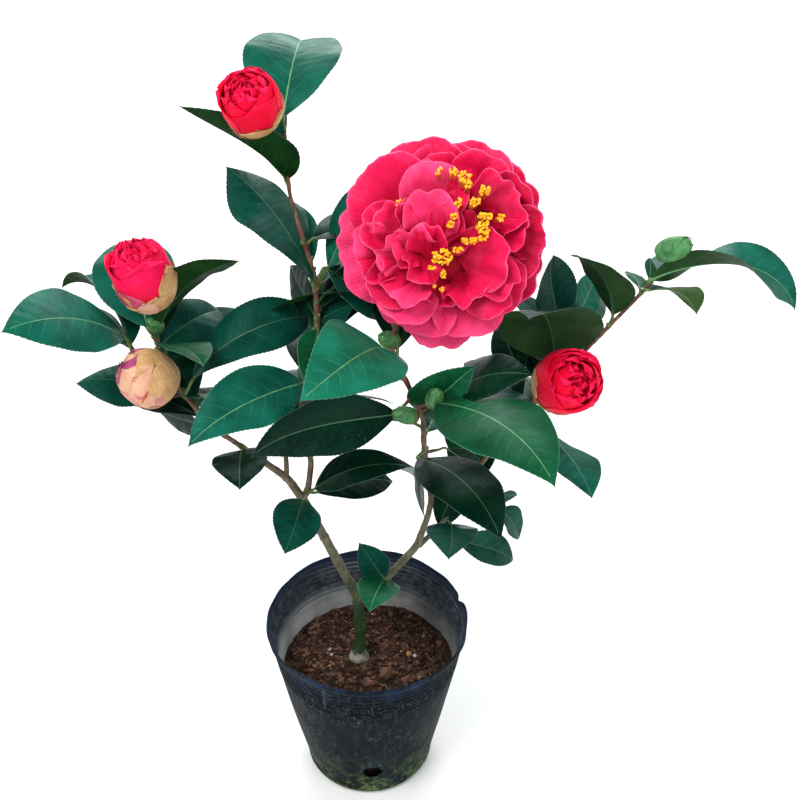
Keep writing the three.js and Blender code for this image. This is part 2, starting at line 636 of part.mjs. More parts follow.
function soilGeometry() {
  const step = POT_WALL + GAP;
  const profile = [[0, POT_BASE + GAP], [POT_FOOT_RADIUS - POT_FOOT_ROUND - GAP, POT_BASE + GAP]];
  for (const z of [POT_FOOT_ROUND + 4, 45, SOIL_LEVEL - 2]) profile.push([potRadius(z) - step - GAP, z]);
  profile.push([50, SOIL_LEVEL], [36, SOIL_LEVEL + 0.6], [19, SOIL_LEVEL + SOIL_MOUND], [0, SOIL_LEVEL + SOIL_MOUND]);
  const lathe = new THREE.LatheGeometry(profile.map(([r, z]) => new THREE.Vector2(r, z)), 16);
  lathe.rotateX(Math.PI / 2);
  const g = facing(lathe);
  const p = g.attributes.position;
  for (let i = 0; i < p.count; i++) {
    const r = Math.hypot(p.getX(i), p.getY(i));
    if (p.getZ(i) > SOIL_LEVEL - 0.5 && r > 25) {
      p.setZ(i, p.getZ(i) + 1.6 * Math.sin(p.getX(i) * 0.13) * Math.cos(p.getY(i) * 0.11));
    }
  }
  return solid(g);
}

// ---- assembly ----------------------------------------------------------------------
const LOOKS = {
  pot: { color: 0x1c232d, roughness: 0.55, metalness: 0 },
  soil: { color: 0x4b3229, roughness: 0.95, metalness: 0 },
  wood: { color: 0x6a5a48, roughness: 0.8, metalness: 0 },
  leaf: { color: 0x1e5f41, roughness: 0.35, metalness: 0 },
  petal: { color: 0xf02855, roughness: 0.6, metalness: 0 },
  scale: { color: 0xcda56e, roughness: 0.6, metalness: 0 },
  green: { color: 0x6eb478, roughness: 0.45, metalness: 0 },
};

const shrub = new THREE.Group();
shrub.name = 'camellia_in_pot';
const placed = [];      // [bounding box, solid grown by the gap]

function place(name, look, make) {
  let body = make(0);
  const box = body.boundingBox();
  for (const other of placed) {
    const apart = [0, 1, 2].some((k) => other.box.min[k] > box.max[k] || other.box.max[k] < box.min[k]);
    if (!apart) body = body.subtract(other.grown);
  }
  body = largest(body);
  const grown = make(GAP);
  placed.push({ box: grown.boundingBox(), grown });
  const mesh = new THREE.Mesh(geometryOf(body), new THREE.MeshStandardMaterial(LOOKS[look]));
  mesh.name = name;
  shrub.add(mesh);
}

place('pot', 'pot', () => potGeometry());
{
  // the soil fills the pot, a gap clear of its wall
  const soil = new THREE.Mesh(geometryOf(soilGeometry()), new THREE.MeshStandardMaterial(LOOKS.soil));
  soil.name = 'soil';
  shrub.add(soil);
}
for (const [name, [limb, from, to]] of Object.entries(STRETCHES)) {
  const length = limbPoints(LIMBS[limb]).reduce((sum, p, i, all) => sum + (i ? p.distanceTo(all[i - 1]) : 0), 0);
  const trim = name === 'stem' ? 0 : GAP / length;
  const sides = name === 'stem' ? 12 : 7;
  place(name, 'wood', (extra) => solid(limbTube(
    LIMBS[limb], from, to - trim, sides, extra, name === 'stem',
  )));
}
place('bloom', 'petal', (extra) => solid(bloom(extra)));
for (const [name, b] of Object.entries(BUDS)) {
  const look = name === 'bud_closed' ? 'scale' : name === 'bud_green_tip' ? 'green' : 'petal';
  place(name, look, (extra) => solid(bud(b, extra)));
}
for (const [name, mass] of Object.entries(MASSES)) {
  const length = limbPoints(LIMBS[mass.limb]).reduce((sum, p, i, all) => sum + (i ? p.distanceTo(all[i - 1]) : 0), 0);
  const trim = mass.to > mass.from ? GAP / length : 0;
  place(name, 'leaf', (extra) => massSolid(
    { ...mass, from: mass.from + trim * (extra ? 0 : 1), to: mass.to - trim * (extra ? 0 : 1) }, extra,
  ));
}

export default shrub;
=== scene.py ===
"""A young camellia shrub in a nursery pot: its leaves, stems, bloom, buds, pot and soil.

Lengths are in millimetres until a mesh is made. Headings are degrees round +Z from +X and rises are degrees above the horizontal.
"""

import math

import bpy
import numpy as np
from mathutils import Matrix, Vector, noise


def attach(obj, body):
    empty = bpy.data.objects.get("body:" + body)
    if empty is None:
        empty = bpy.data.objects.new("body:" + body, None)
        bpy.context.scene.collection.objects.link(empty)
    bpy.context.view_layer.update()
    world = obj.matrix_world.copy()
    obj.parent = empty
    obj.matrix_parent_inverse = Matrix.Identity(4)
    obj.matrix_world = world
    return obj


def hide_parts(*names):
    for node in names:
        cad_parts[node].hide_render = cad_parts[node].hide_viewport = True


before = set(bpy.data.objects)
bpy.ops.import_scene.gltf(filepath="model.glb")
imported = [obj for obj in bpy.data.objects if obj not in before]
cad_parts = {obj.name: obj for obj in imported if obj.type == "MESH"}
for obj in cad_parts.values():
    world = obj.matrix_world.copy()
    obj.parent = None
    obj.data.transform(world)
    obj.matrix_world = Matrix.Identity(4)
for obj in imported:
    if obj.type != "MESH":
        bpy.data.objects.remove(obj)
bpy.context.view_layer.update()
MM = 0.001

# ---- camera -----------------------------------------------------------------
camera_data = bpy.data.cameras.new("camera")
camera_data.lens = 45.0
camera_data.sensor_width = 36.0
camera_data.clip_start = 0.01
camera_data.dof.use_dof = False
camera = bpy.data.objects.new("camera", camera_data)
camera.location = (0.0226, -0.508, 0.612)
camera.rotation_euler = (math.radians(90 - 31.4), 0, 0)
bpy.context.collection.objects.link(camera)
bpy.context.scene.camera = camera

# ---- sizes ------------------------------------------------------------------
POT_HEIGHT, POT_RIM, POT_FOOT, POT_TURN = 127.0, 70.0, 45.5, 7.0
SOIL_LEVEL = 85.0

# start, radius at each bend, steps as [length, heading, rise]
LIMBS = {
    "stem": {"from": (-6.5, 2, 87.3), "radii": (4.6, 4, 3.7), "steps": [(26.6, -14, 86), (31.1, -132, 86)]},
    "left": {"from": (-5.8, 0, 144.9), "radii": (3.3, 2.8, 2.4, 1.5, 1.4, 1.3, 1.2, 1.1, 1.05, 1), "steps": [(93.8, -162, 70), (22.9, -168, 64), (38, -174, 44), (16.2, 167, 32), (12.5, 161, 44), (21.6, 155, 49), (13.8, 141, 55), (11.1, 152, 67), (11.5, 156, 78)]},
    "leftTwig": {"from": (-107.8, -3, 312), "radii": (1, 0.95, 0.9, 0.85, 0.8), "steps": [(12.2, 138, 10), (10.7, 161, 29), (8.8, -168, 57), (9.5, -139, 61)]},
    "centre": {"from": (-37.6, -10, 236), "radii": (2, 1.9, 1.8, 1.6, 1.45, 1.35, 1, 0.85), "steps": [(8.1, -8, 64), (22.3, -27, 81), (34.2, -174, 82), (55.9, 42, 74), (26.3, 94, 81), (49.5, 142, 71), (32.3, 106, 83)]},
    "inner": {"from": (-47.7, -12, 252), "radii": (1.7, 1.65, 1.5, 1.1), "steps": [(4, 0, 69), (12.6, 0, 89), (23.7, 111, 69)]},
    "right": {"from": (-3.8, 0, 143.1), "radii": (2.7, 2.6, 2.4, 1.9, 1.8, 1.55, 1.5, 1.35, 1.3, 1.3, 1.4, 1.7), "steps": [(31.3, 3, 48), (27.2, 7, 52), (27.3, -8, 75), (12.9, -31, 81), (46.8, -131, 80), (24.4, -104, 80), (35.2, -176, 67), (11.7, 156, 65), (11.4, 77, 63), (13.1, 48, 44), (41.5, 10, 62)]},
    "outer": {"from": (35.1, 4, 186.8), "radii": (1.7, 1.65, 1.55, 1.4, 1.3, 1.05, 0.9), "steps": [(34.9, 10, 48), (36.1, 21, 63), (51.5, 10, 54), (35.5, 5, 50), (56.3, -3, 53), (25.6, -13, 60)]},
}

# leaves: [limb, place on it, stalk length, stalk heading, stalk rise, heading, rise, roll,
#          length, width, arch, sweep, fold, twist, curl, widest, fold at the tip, kind]
LEAVES = {
    "left_tip": [
        ("leftTwig", 0.903, 12.5, -139, 67, -117, 50, -44, 84, 46, 41, 18, 4, 5, 19, 0.55, -9, "T"),
        ("leftTwig", 0.903, 4.7, 178, 63, 107, 51, 55, 74, 35, 68, 2, 23, -12, 37, 0.47, 33, "T"),
    ],
    "left_bud": [
        ("left", 0.983, 8, -127, 63, 120, 57, -12, 73, 49, 51, -8, 10, -4, 25, 0.46, 6, "T"),
        ("left", 0.983, 6.9, -5, 57, 10, 67, -44, 75, 39, 60, 8, 25, -16, -6, 0.48, 7, "D"),
        ("left", 0.933, 5.3, 113, 46, 35, 32, 43, 56, 32, 54, -8, 7, -10, 30, 0.43, 5, "M"),
        ("left", 0.943, 6.2, -55, 49, -40, 27, -21, 54, 31, 32, -11, 9, 4, 9, 0.49, 11, "G"),
    ],
    "left_mid": [
        ("left", 0.818, 12.2, -21, 63, 6, 59, 8, 95, 36, 77, -8, 15, 66, 35, 0.57, -1, "M"),
        ("left", 0.728, 18.4, 126, -28, 144, -12, -88, 43, 23, 8, -6, 2, -3, 0, 0.42, -9, "D"),
        ("left", 0.758, 12.8, 114, -10, 72, 4, -12, 39, 22, 21, 0, 9, -4, 2, 0.46, 1, "M"),
        ("left", 0.823, 18.1, 148, -26, -174, 38, -25, 58, 33, 46, 6, -2, 3, 29, 0.45, -18, "M"),
        ("left", 0.63, 2, -76, -19, -87, 24, 12, 47, 33, 33, 3, 11, -18, 9, 0.46, 2, "D"),
    ],
    "low_centre": [
        ("centre", 0.033, 8.9, -48, 37, -17, 49, 27, 68, 30, 53, -5, 12, -15, 9, 0.43, -1, "D"),
        ("centre", 0.03, 6.6, -25, 12, 20, 10, 22, 58, 27, 40, 0, 10, 8, 16, 0.49, 2, "D"),
        ("centre", 0.03, 12, -99, 13, -91, 10, -21, 48, 30, 32, -3, 14, 2, -2, 0.46, -1, "M"),
    ],
    "inner": [
        ("centre", 0.368, 11.3, -94, 35, -136, 11, -45, 78, 40, 36, 11, 11, 31, 18, 0.44, 20, "T"),
    ],
    "inner_left": [

    ],
    "centre": [
        ("centre", 0.508, 7.5, -73, 37, -90, -7, -35, 42, 22, 22, 0, 9, 1, 5, 0.46, 2, "G"),
        ("centre", 0.533, 4.3, -119, 70, 117, 20, -81, 50, 23, 8, 7, 3, 18, 9, 0.48, -2, "D"),
        ("centre", 0.543, 4.2, 103, 46, 83, 18, -4, 46, 23, 23, 0, 9, -1, 6, 0.46, 3, "M"),
        ("centre", 0.518, 4.9, 65, 38, -4, 45, 20, 22, 25, 34, -3, 7, 11, 11, 0.49, -2, "M"),
        ("centre", 0.628, 12.5, 46, 39, -3, 68, 35, 65, 31, 22, 2, 8, 6, 6, 0.46, 5, "T"),
        ("centre", 0.628, 12, 47, 41, 6, -37, 37, 54, 27, 23, 0, 9, -3, 7, 0.45, 5, "T"),
    ],
    "upper": [
        ("centre", 0.66, 8, -88, -22, 132, 65, 40, 84, 47, 48, -2, 10, -49, 0, 0.56, -19, "M"),
        ("centre", 0.663, 5.7, 104, 24, 112, 25, -33, 53, 23, 15, -7, 7, -4, 1, 0.44, 1, "T"),
    ],
    "top": [
        ("centre", 0.878, 3.8, 124, 30, -132.7, 55, 178.3, 72, 51, -38.8, 31.1, -15.7, -4.6, 26.3, 0.34, -31.4, "O"),
        ("centre", 0.97, 15.3, -121, 89, 80, 52, -6, 76, 56, 49, 8, 13, 18, 30, 0.49, 14, "T"),
    ],
    "front": [
        ("right", 0.756, 24.6, -104, 36, -101, 35, -25, 88, 49, 55, -2, 8, -22, 24, 0.41, 9, "B"),
        ("right", 0.655, 17, -126, -18, -156, 8, -94, 92, 43, 12, 15, 17, 1, -48, 0.42, -2, "D"),
    ],
    "right_front": [
        ("right", 0.566, 9.4, 90, 39, -86, 36, 145, 64, 33, 60, -10, 20, -19, 22, 0.43, 17, "G"),
        ("right", 0.611, 16.6, -14, 37, -39, 54, 25, 67, 36, 33, -11, 1, 10, 24, 0.5, -6, "D"),
        ("right", 0.626, 24.5, -61, 33, -54, 24, 9, 109, 57, 23, -11, -3, -13, 35, 0.51, -2, "G"),
        ("right", 0.501, 12.6, -109, 8, -53, 24, -3, 89, 44, 41, -9, 0, 0, 25, 0.48, -4, "D"),
        ("right", 0.495, 5.5, 94, -36, -123, -67, 44, 44, 22, 23, -1, 9, -3, 7, 0.47, 4, "D"),
        ("right", 0.495, 17, 33, -13, 17, -43, 91, 36, 16, 21, -8, 9, 2, 3, 0.47, 2, "D"),
    ],
    "under_bloom": [

    ],
    "right_low": [
        ("outer", 0.115, 8.1, -75, 13, -88, 32, -4, 55, 33, 26, -11, 6, 4, 14, 0.45, 6, "M"),
        ("outer", 0.115, 18.3, -20, -66, -5, -8, 42, 48, 24, 43, -6, 15, -8, 18, 0.5, 16, "P*"),
        ("outer", 0.173, 30.3, 12, -19, -2, -47, 30, 31, 23, 28, -4, 12, -6, 10, 0.44, 16, "P"),
        ("outer", 0.203, 24.3, 18, -17, 19, -20, 98, 18, 11, 19, -1, 8, 1, 3, 0.46, 0, "P"),
        ("outer", 0.233, 9.4, 86, 65, -147, -46, -25, 48, 24, 33, 4, 11, -1, 14, 0.47, 9, "D"),
    ],
    "right_mid": [
        ("outer", 0.463, 14.5, -4, -18, 9, -48, 150, 71, 38, -4, -9, 17, -37, -28, 0.51, -9, "T"),
        ("outer", 0.548, 20, -165, 51, 121, 36, -46, 45, 23, 29, -2, 11, 5, 11, 0.47, 6, "D"),
        ("outer", 0.598, 5.7, 68, 29, 131, -9, -111, 45, 23, 23, 0, 9, 0, 6, 0.46, 3, "D"),
        ("outer", 0.623, 11.2, -150, 60, -132, 81, 40, 77, 62, 46, -21, 2, -17, 39, 0.38, 7, "D"),
        ("outer", 0.703, 21.2, 151, 44, -156, 72, -93, 59, 31, -9, 2, 20, 17, -32, 0.44, 12, "M"),
        ("outer", 0.748, 16.6, 145, 47, 69, 18, 49, 45, 22, 3, -8, 9, 0, -6, 0.47, 3, "T"),
        ("outer", 0.798, 8.3, 0, 78, -121, 74, -9, 68, 35, 45, -16, 14, -9, 10, 0.42, 7, "D"),
    ],
    "right_tip": [
        ("outer", 0.908, 5.3, -112, 73, 89, 10, 19, 25, 15, 22, 0, 9, 0, 5, 0.46, 3, "G"),
        ("outer", 0.938, 4, -37, 73, 75, 32, 38, 18, 10, 18, -1, 7, 1, 2, 0.46, -1, "G"),
        ("outer", 0.943, 6.4, -92, 47, 15, 21, -47, 107, 42, 48, 32, 14, 26, 37, 0.56, 11, "T~"),
        ("outer", 0.918, 6, -64, 34, 28, -2, -14, 49, 28, 44, 14, 8, -14, 24, 0.51, 19, "P"),
    ],
    "foot": [
        ("right", 0.09, 6.1, -106, 38, -146, 65, -105, 34, 21, 31, 5, 11, 5, 8, 0.45, 4, "M"),
        ("right", 0.09, 8.4, -96, 35, -103, 28, -10, 37, 28, 38, 0, 12, 13, 12, 0.42, 7, "G"),
    ],
}
# leaves behind: limb, from, to, count, seed
BEHIND = {
    "left_tip": ("leftTwig", 0.45, 0.9, 2, 472),
    "left_bud": ("left", 0.9, 0.99, 3, 1277),
    "left_mid": ("left", 0.66, 0.83, 4, 1373),
    "inner": ("centre", 0.3, 0.47, 4, 1667),
    "inner_left": ("inner", 0.7, 0.98, 4, 1223),
    "centre": ("centre", 0.53, 0.63, 3, 2194),
    "upper": ("centre", 0.67, 0.75, 2, 3539),
    "top": ("centre", 0.9, 0.97, 1, 1530),
    "front": ("right", 0.67, 0.76, 2, 766),
    "right_front": ("right", 0.51, 0.62, 3, 1539),
    "under_bloom": ("right", 0.8, 0.92, 5, 2390),
    "right_low": ("outer", 0.126, 0.238, 4, 1069),
    "right_mid": ("outer", 0.4, 0.8, 7, 1501),
    "right_tip": ("outer", 0.9, 0.97, 1, 5001),
}


# ---- small helpers ------------------------------------------------------------
def V(*x):
    return np.array(x, float)


def unit(v):
    return v / max(1e-9, np.linalg.norm(v))


def way(heading, rise):
    h, r = math.radians(heading), math.radians(rise)
    return V(math.cos(r) * math.cos(h), math.cos(r) * math.sin(h), math.sin(r))


def smooth(a, b, x):
    t = np.clip((x - a) / (b - a), 0, 1)
    return t * t * (3 - 2 * t)


def fuzz(*p):
    return noise.noise(Vector(p))


def rnd(seed, i, j):
    x = abs(math.sin(seed * 12.9898 + i * 78.233 + j * 37.719) * 43758.5453)
    return x - math.floor(x)


def turn(v, axis, angle):
    c, s = math.cos(angle), math.sin(angle)
    return v * c + np.cross(axis, v) * s + axis * (axis @ v) * (1 - c)


class Piece:
    """Collects meshes, then makes one object of them."""

    def __init__(self, name, materials):
        self.name, self.materials = name, materials
        self.verts, self.faces, self.kinds, self.uvs = [], [], [], []
        self.count = 0

    def add(self, verts, faces, kinds, uvs=None):
        verts = np.asarray(verts, float).reshape(-1, 3)
        self.verts.append(verts)
        base = self.count
        self.faces.extend(tuple(int(i) + base for i in f) for f in faces)
        self.kinds.extend([kinds] * len(faces) if isinstance(kinds, int) else kinds)
        self.uvs.append(np.zeros((len(verts), 2)) if uvs is None else np.asarray(uvs, float))
        self.count += len(verts)

    def make(self, replaces=(), slot=None):
        mesh = bpy.data.meshes.new(self.name)
        verts = np.concatenate(self.verts) * MM
        mesh.from_pydata(verts.tolist(), [], self.faces)
        for m in self.materials:
            mesh.materials.append(m)
        mesh.polygons.foreach_set("material_index", np.array(self.kinds, np.int32))
        mesh.polygons.foreach_set("use_smooth", np.ones(len(self.faces), bool))
        layer = mesh.uv_layers.new(name="lay")
        loops = np.zeros(len(mesh.loops), np.int32)
        mesh.loops.foreach_get("vertex_index", loops)
        layer.data.foreach_set("uv", np.concatenate(self.uvs)[loops].ravel())
        mesh.update()
        obj = bpy.data.objects.new(self.name, mesh)
        bpy.context.collection.objects.link(obj)
        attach(obj, "root")
        if replaces:
            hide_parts(*replaces)
        return obj


def grid_faces(rows, cols, closed=False, flip=False):
    out = []
    n = cols if closed else cols - 1
    for i in range(rows - 1):
        for j in range(n):
            a, b = i * cols + j, i * cols + (j + 1) % cols
            f = (a, b, b + cols, a + cols)
            out.append(f[::-1] if flip else f)
    return out


def tube(points, radii, sides, relief=None, cap=True):
    """A tube round a run of points; relief(i, angle) scales its radius."""
    points = [np.asarray(p, float) for p in points]
    verts, side = [], None
    for i, p in enumerate(points):
        t = unit(points[min(i + 1, len(points) - 1)] - points[max(i - 1, 0)])
        if side is None:
            side = V(0, 1, 0) if abs(t[1]) < 0.9 else V(1, 0, 0)
        side = unit(side - t * (side @ t))
        up = np.cross(t, side)
        for k in range(sides):
            a = 2 * math.pi * k / sides
            r = radii[i] * (relief(i, a) if relief else 1)
            verts.append(p + side * r * math.cos(a) + up * r * math.sin(a))
    faces = grid_faces(len(points), sides, closed=True)
    if cap:
        verts += [points[0], points[-1]]
        a, b = len(verts) - 2, len(verts) - 1
        e = (len(points) - 1) * sides
        faces += [(a, (k + 1) % sides, k) for k in range(sides)]
        faces += [(b, e + k, e + (k + 1) % sides) for k in range(sides)]
    return np.array(verts), faces


def blob(centre, size, seed, rough=0.25, turn_to=None, level=1):
    """A small closed lump."""
    t = (1 + 5 ** 0.5) / 2
    v = [unit(V(*p)) for p in [(-1, t, 0), (1, t, 0), (-1, -t, 0), (1, -t, 0), (0, -1, t), (0, 1, t),
                               (0, -1, -t), (0, 1, -t), (t, 0, -1), (t, 0, 1), (-t, 0, -1), (-t, 0, 1)]]
    f = [(0, 11, 5), (0, 5, 1), (0, 1, 7), (0, 7, 10), (0, 10, 11), (1, 5, 9), (5, 11, 4), (11, 10, 2), (10, 7, 6),
         (7, 1, 8), (3, 9, 4), (3, 4, 2), (3, 2, 6), (3, 6, 8), (3, 8, 9), (4, 9, 5), (2, 4, 11), (6, 2, 10), (8, 6, 7), (9, 8, 1)]
    for _ in range(level):
        mids, g = {}, []
        for a, b, c in f:
            m = []
            for p, q in ((a, b), (b, c), (c, a)):
                k = (min(p, q), max(p, q))
                if k not in mids:
                    mids[k] = len(v)
                    v.append(unit(v[p] + v[q]))
                m.append(mids[k])
            g += [(a, m[0], m[2]), (b, m[1], m[0]), (c, m[2], m[1]), tuple(m)]
        f = g
    out = []
    for p in v:
        r = 1 + rough * fuzz(p[0] * 1.3 + seed * 7.1, p[1] * 1.3 - seed * 3.3, p[2] * 1.3 + seed)
        q = p * r * np.asarray(size)
        if turn_to is not None:
            x, y, z = turn_to
            q = x * q[0] + y * q[1] + z * q[2]
        out.append(np.asarray(centre) + q)
    return out, f


# ---- materials ------------------------------------------------------------------
def srgb(r, g, b):
    def lin(c):
        c /= 255
        return c / 12.92 if c <= 0.04045 else ((c + 0.055) / 1.055) ** 2.4
    return (lin(r), lin(g), lin(b), 1.0)


class Mat:
    """A Principled material with a few procedural layers."""

    def __init__(self, name, rough=0.5, **sockets):
        self.m = bpy.data.materials.new(name)
        self.m.use_nodes = True
        self.t = self.m.node_tree
        self.n, self.l = self.t.nodes, self.t.links
        self.p = next(x for x in self.n if x.type == "BSDF_PRINCIPLED")
        self.p.inputs["Roughness"].default_value = rough
        for k, v in sockets.items():
            self.p.inputs[k.replace("_", " ")].default_value = v
        self.co = self.n.new("ShaderNodeTexCoord").outputs["Object"]

    def noise(self, scale, detail=3, rough=0.55, stretch=None):
        co = self.co
        if stretch:
            mp = self.n.new("ShaderNodeMapping")
            mp.inputs["Scale"].default_value = stretch
            self.l.new(co, mp.inputs["Vector"])
            co = mp.outputs["Vector"]
        x = self.n.new("ShaderNodeTexNoise")
        x.inputs["Scale"].default_value = scale
        x.inputs["Detail"].default_value = detail
        x.inputs["Roughness"].default_value = rough
        self.l.new(co, x.inputs["Vector"])
        return x.outputs["Fac"]

    def cells(self, scale, feature="DISTANCE_TO_EDGE"):
        x = self.n.new("ShaderNodeTexVoronoi")
        x.feature = feature
        x.inputs["Scale"].default_value = scale
        self.l.new(self.co, x.inputs["Vector"])
        return x.outputs["Distance"]

    def ramp(self, fac, stops, ease="LINEAR"):
        x = self.n.new("ShaderNodeValToRGB")
        x.color_ramp.interpolation = ease
        e = x.color_ramp.elements
        while len(e) < len(stops):
            e.new(0.5)
        for k, (at, c) in zip(e, stops):
            k.position = at
            k.color = c if len(c) == 4 else (*c, 1)
        self.l.new(fac, x.inputs["Fac"])
        return x.outputs["Color"]

    def mix(self, fac, a, b, kind="MIX"):
        x = self.n.new("ShaderNodeMix")
        x.data_type = "RGBA"
        x.blend_type = kind
        for k, v in (("Factor", fac), ("A", a), ("B", b)):
            s = next(i for i in x.inputs if i.name == k and (i.type == "RGBA" or k == "Factor") and i.enabled)
            if isinstance(v, (int, float, tuple)):
                s.default_value = v
            else:
                self.l.new(v, s)
        return next(o for o in x.outputs if o.type == "RGBA")

    def band(self, value, lo, hi, a=0.0, b=1.0):
        x = self.n.new("ShaderNodeMapRange")
        for k, v in (("From Min", lo), ("From Max", hi), ("To Min", a), ("To Max", b)):
            x.inputs[k].default_value = v
        self.l.new(value, x.inputs["Value"])
        return x.outputs["Result"]

    def math(self, op, a, b=None):
        x = self.n.new("ShaderNodeMath")
        x.operation = op
        for i, v in enumerate((a, b)):
            if v is None:
                continue
            if isinstance(v, (int, float)):
                x.inputs[i].default_value = v
            else:
                self.l.new(v, x.inputs[i])
        return x.outputs[0]

    def axis(self, which):
        x = self.n.new("ShaderNodeSeparateXYZ")
        self.l.new(self.co, x.inputs[0])
        return x.outputs[which]

    def lay(self, which):
        uv = self.n.new("ShaderNodeUVMap")
        uv.uv_map = "lay"
        x = self.n.new("ShaderNodeSeparateXYZ")
        self.l.new(uv.outputs[0], x.inputs[0])
        return x.outputs[which]

    def colour(self, c):
        if isinstance(c, tuple):
            self.p.inputs["Base Color"].default_value = c
        else:
            self.l.new(c, self.p.inputs["Base Color"])

    def rough(self, fac, lo, hi):
        self.l.new(self.band(fac, 0.3, 0.7, lo, hi), self.p.inputs["Roughness"])

    def bump(self, height, strength, distance):
        x = self.n.new("ShaderNodeBump")
        x.inputs["Strength"].default_value = strength
        x.inputs["Distance"].default_value = distance
        self.l.new(height, x.inputs["Height"])
        last = self.p.inputs["Normal"]
        if last.is_linked:
            self.l.new(last.links[0].from_socket, x.inputs["Normal"])
        self.l.new(x.outputs["Normal"], last)


def leaf_material(name, base, deep, light, sheen, rough=0.33, veins=0.2):
    m = Mat(name, rough, IOR=1.5, Specular_IOR_Level=0.1, Specular_Tint=sheen)
    patch = m.noise(55, 4)
    c = m.mix(m.band(patch, 0.36, 0.66), srgb(*deep), srgb(*base))
    # side veins a shade lighter, along the blade's own layout
    u, v = m.lay("X"), m.lay("Y")
    saw = m.math("FRACT", u)
    near = m.math("ABSOLUTE", m.math("SUBTRACT", saw, 0.5))
    line = m.math("MULTIPLY", m.band(near, 0.42, 0.49), m.band(v, 0.85, 0.35))
    c = m.mix(m.math("MULTIPLY", line, veins), c, srgb(*light))
    specks = m.math("MULTIPLY", m.band(m.noise(640, 2), 0.64, 0.72), m.band(m.noise(36, 3), 0.45, 0.65, 0.0, 0.22))
    c = m.mix(specks, c, srgb(128, 158, 146))
    fine = m.cells(820)
    c = m.mix(m.band(fine, 0.0, 0.12, 0.07, 0.0), c, srgb(*light))
    m.colour(c)
    m.rough(m.noise(130, 3), rough - 0.07, rough + 0.09)
    m.bump(m.band(fine, 0.0, 0.2), 0.25, 0.00012)
    m.bump(m.noise(420, 3), 0.18, 0.0002)
    return m.m


def plain(name, base, deep, rough, scale=90, grain=0.0, distance=0.0003, **k):
    m = Mat(name, rough, **k)
    m.colour(m.mix(m.band(m.noise(scale, 4), 0.36, 0.66), srgb(*deep), srgb(*base)))
    m.rough(m.noise(scale * 2.2, 3), rough - 0.06, rough + 0.08)
    if grain:
        m.bump(m.noise(scale * 6, 4), grain, distance)
    return m.m


SHEEN = (0.36, 0.9, 0.88, 1.0)
# Leaf kinds are set per leaf from its overall colour. The teal kind T and the bright kind B carry painted sheen: a sky
# reflection put into their base colour.
LEAF = {
    "T": leaf_material("leaf_teal_painted_sheen", (13, 94, 76), (6, 68, 54), (70, 140, 110), SHEEN, 0.32, 0.2),
    "G": leaf_material("leaf_green", (9, 84, 50), (4, 60, 36), (74, 136, 84), SHEEN, 0.36, 0.2),
    "M": leaf_material("leaf_mid", (8, 71, 57), (4, 50, 41), (54, 108, 82), SHEEN, 0.33, 0.2),
    # The dark kind D is partly the leaf's own darker tone, partly painted shade.
    "D": leaf_material("leaf_dark_partly_painted_shade", (4, 40, 25), (1, 26, 17), (34, 72, 50), (0.2, 0.6, 0.5, 1.0), 0.36, 0.16),
    "B": leaf_material("leaf_bright_painted_sheen", (20, 116, 90), (11, 88, 64), (84, 156, 122), SHEEN, 0.32, 0.2),
    "O": leaf_material("leaf_olive", (20, 58, 18), (10, 38, 9), (60, 104, 52), SHEEN, 0.4, 0.16),
    "P": leaf_material("leaf_dull", (30, 78, 64), (18, 58, 46), (80, 122, 100), SHEEN, 0.45, 0.2),
}
UNDER = plain("leaf_underside", (34, 70, 28), (20, 52, 20), 0.55, 70, 0.25, Specular_IOR_Level=0.1)
UNDER_PALE = plain("leaf_underside_pale", (62, 98, 40), (44, 78, 30), 0.55, 70, 0.25, Specular_IOR_Level=0.1)
RIB = plain("leaf_rib", (92, 150, 96), (66, 124, 74), 0.42, 160)
RIB_DIM = plain("leaf_rib_dim", (50, 100, 66), (34, 78, 50), 0.45, 160)
RIM = plain("leaf_rim", (62, 122, 92), (40, 96, 70), 0.45, 200)
RIM_DIM = plain("leaf_rim_dim", (26, 70, 50), (16, 52, 38), 0.45, 200)
STALK = plain("leaf_stalk", (84, 118, 56), (62, 94, 42), 0.45, 160, 0.2)
DRY = plain("leaf_dry", (122, 84, 52), (84, 56, 36), 0.7, 200, 0.4)


# ---- limbs -------------------------------------------------------------------
def limb_points(limb):
    pts = [V(*limb["from"])]
    for length, heading, rise in limb["steps"]:
        pts.append(pts[-1] + way(heading, rise) * length)
    return pts


RUN = {}
for name, limb in LIMBS.items():
    pts = np.array(limb_points(limb))
    s = np.concatenate([[0], np.cumsum(np.linalg.norm(np.diff(pts, axis=0), axis=1))])
    RUN[name] = (pts, s / s[-1], s[-1])


def limb_at(name, share):
    pts, s, _ = RUN[name]
    return np.array([np.interp(share, s, pts[:, k]) for k in range(3)])


def limb_radius(name, share):
    return float(np.interp(share, RUN[name][1], LIMBS[name]["radii"]))


def limb_way(name, share):
    return unit(limb_at(name, min(1, share + 0.01)) - limb_at(name, max(0, share - 0.01)))


# ---- leaves ---------------------------------------------------------------------
def blade_width(s, widest):
    body = np.where(s < widest, np.sin(np.pi / 2 * np.clip(s / widest, 0, 1)), np.cos(np.pi / 2 * np.clip((s - widest) / (1 - widest), 0, 1)))
    return np.clip(body, 0, 1) ** 0.8 * ((1 - s) / (1 - s + 0.045)) * 1.045


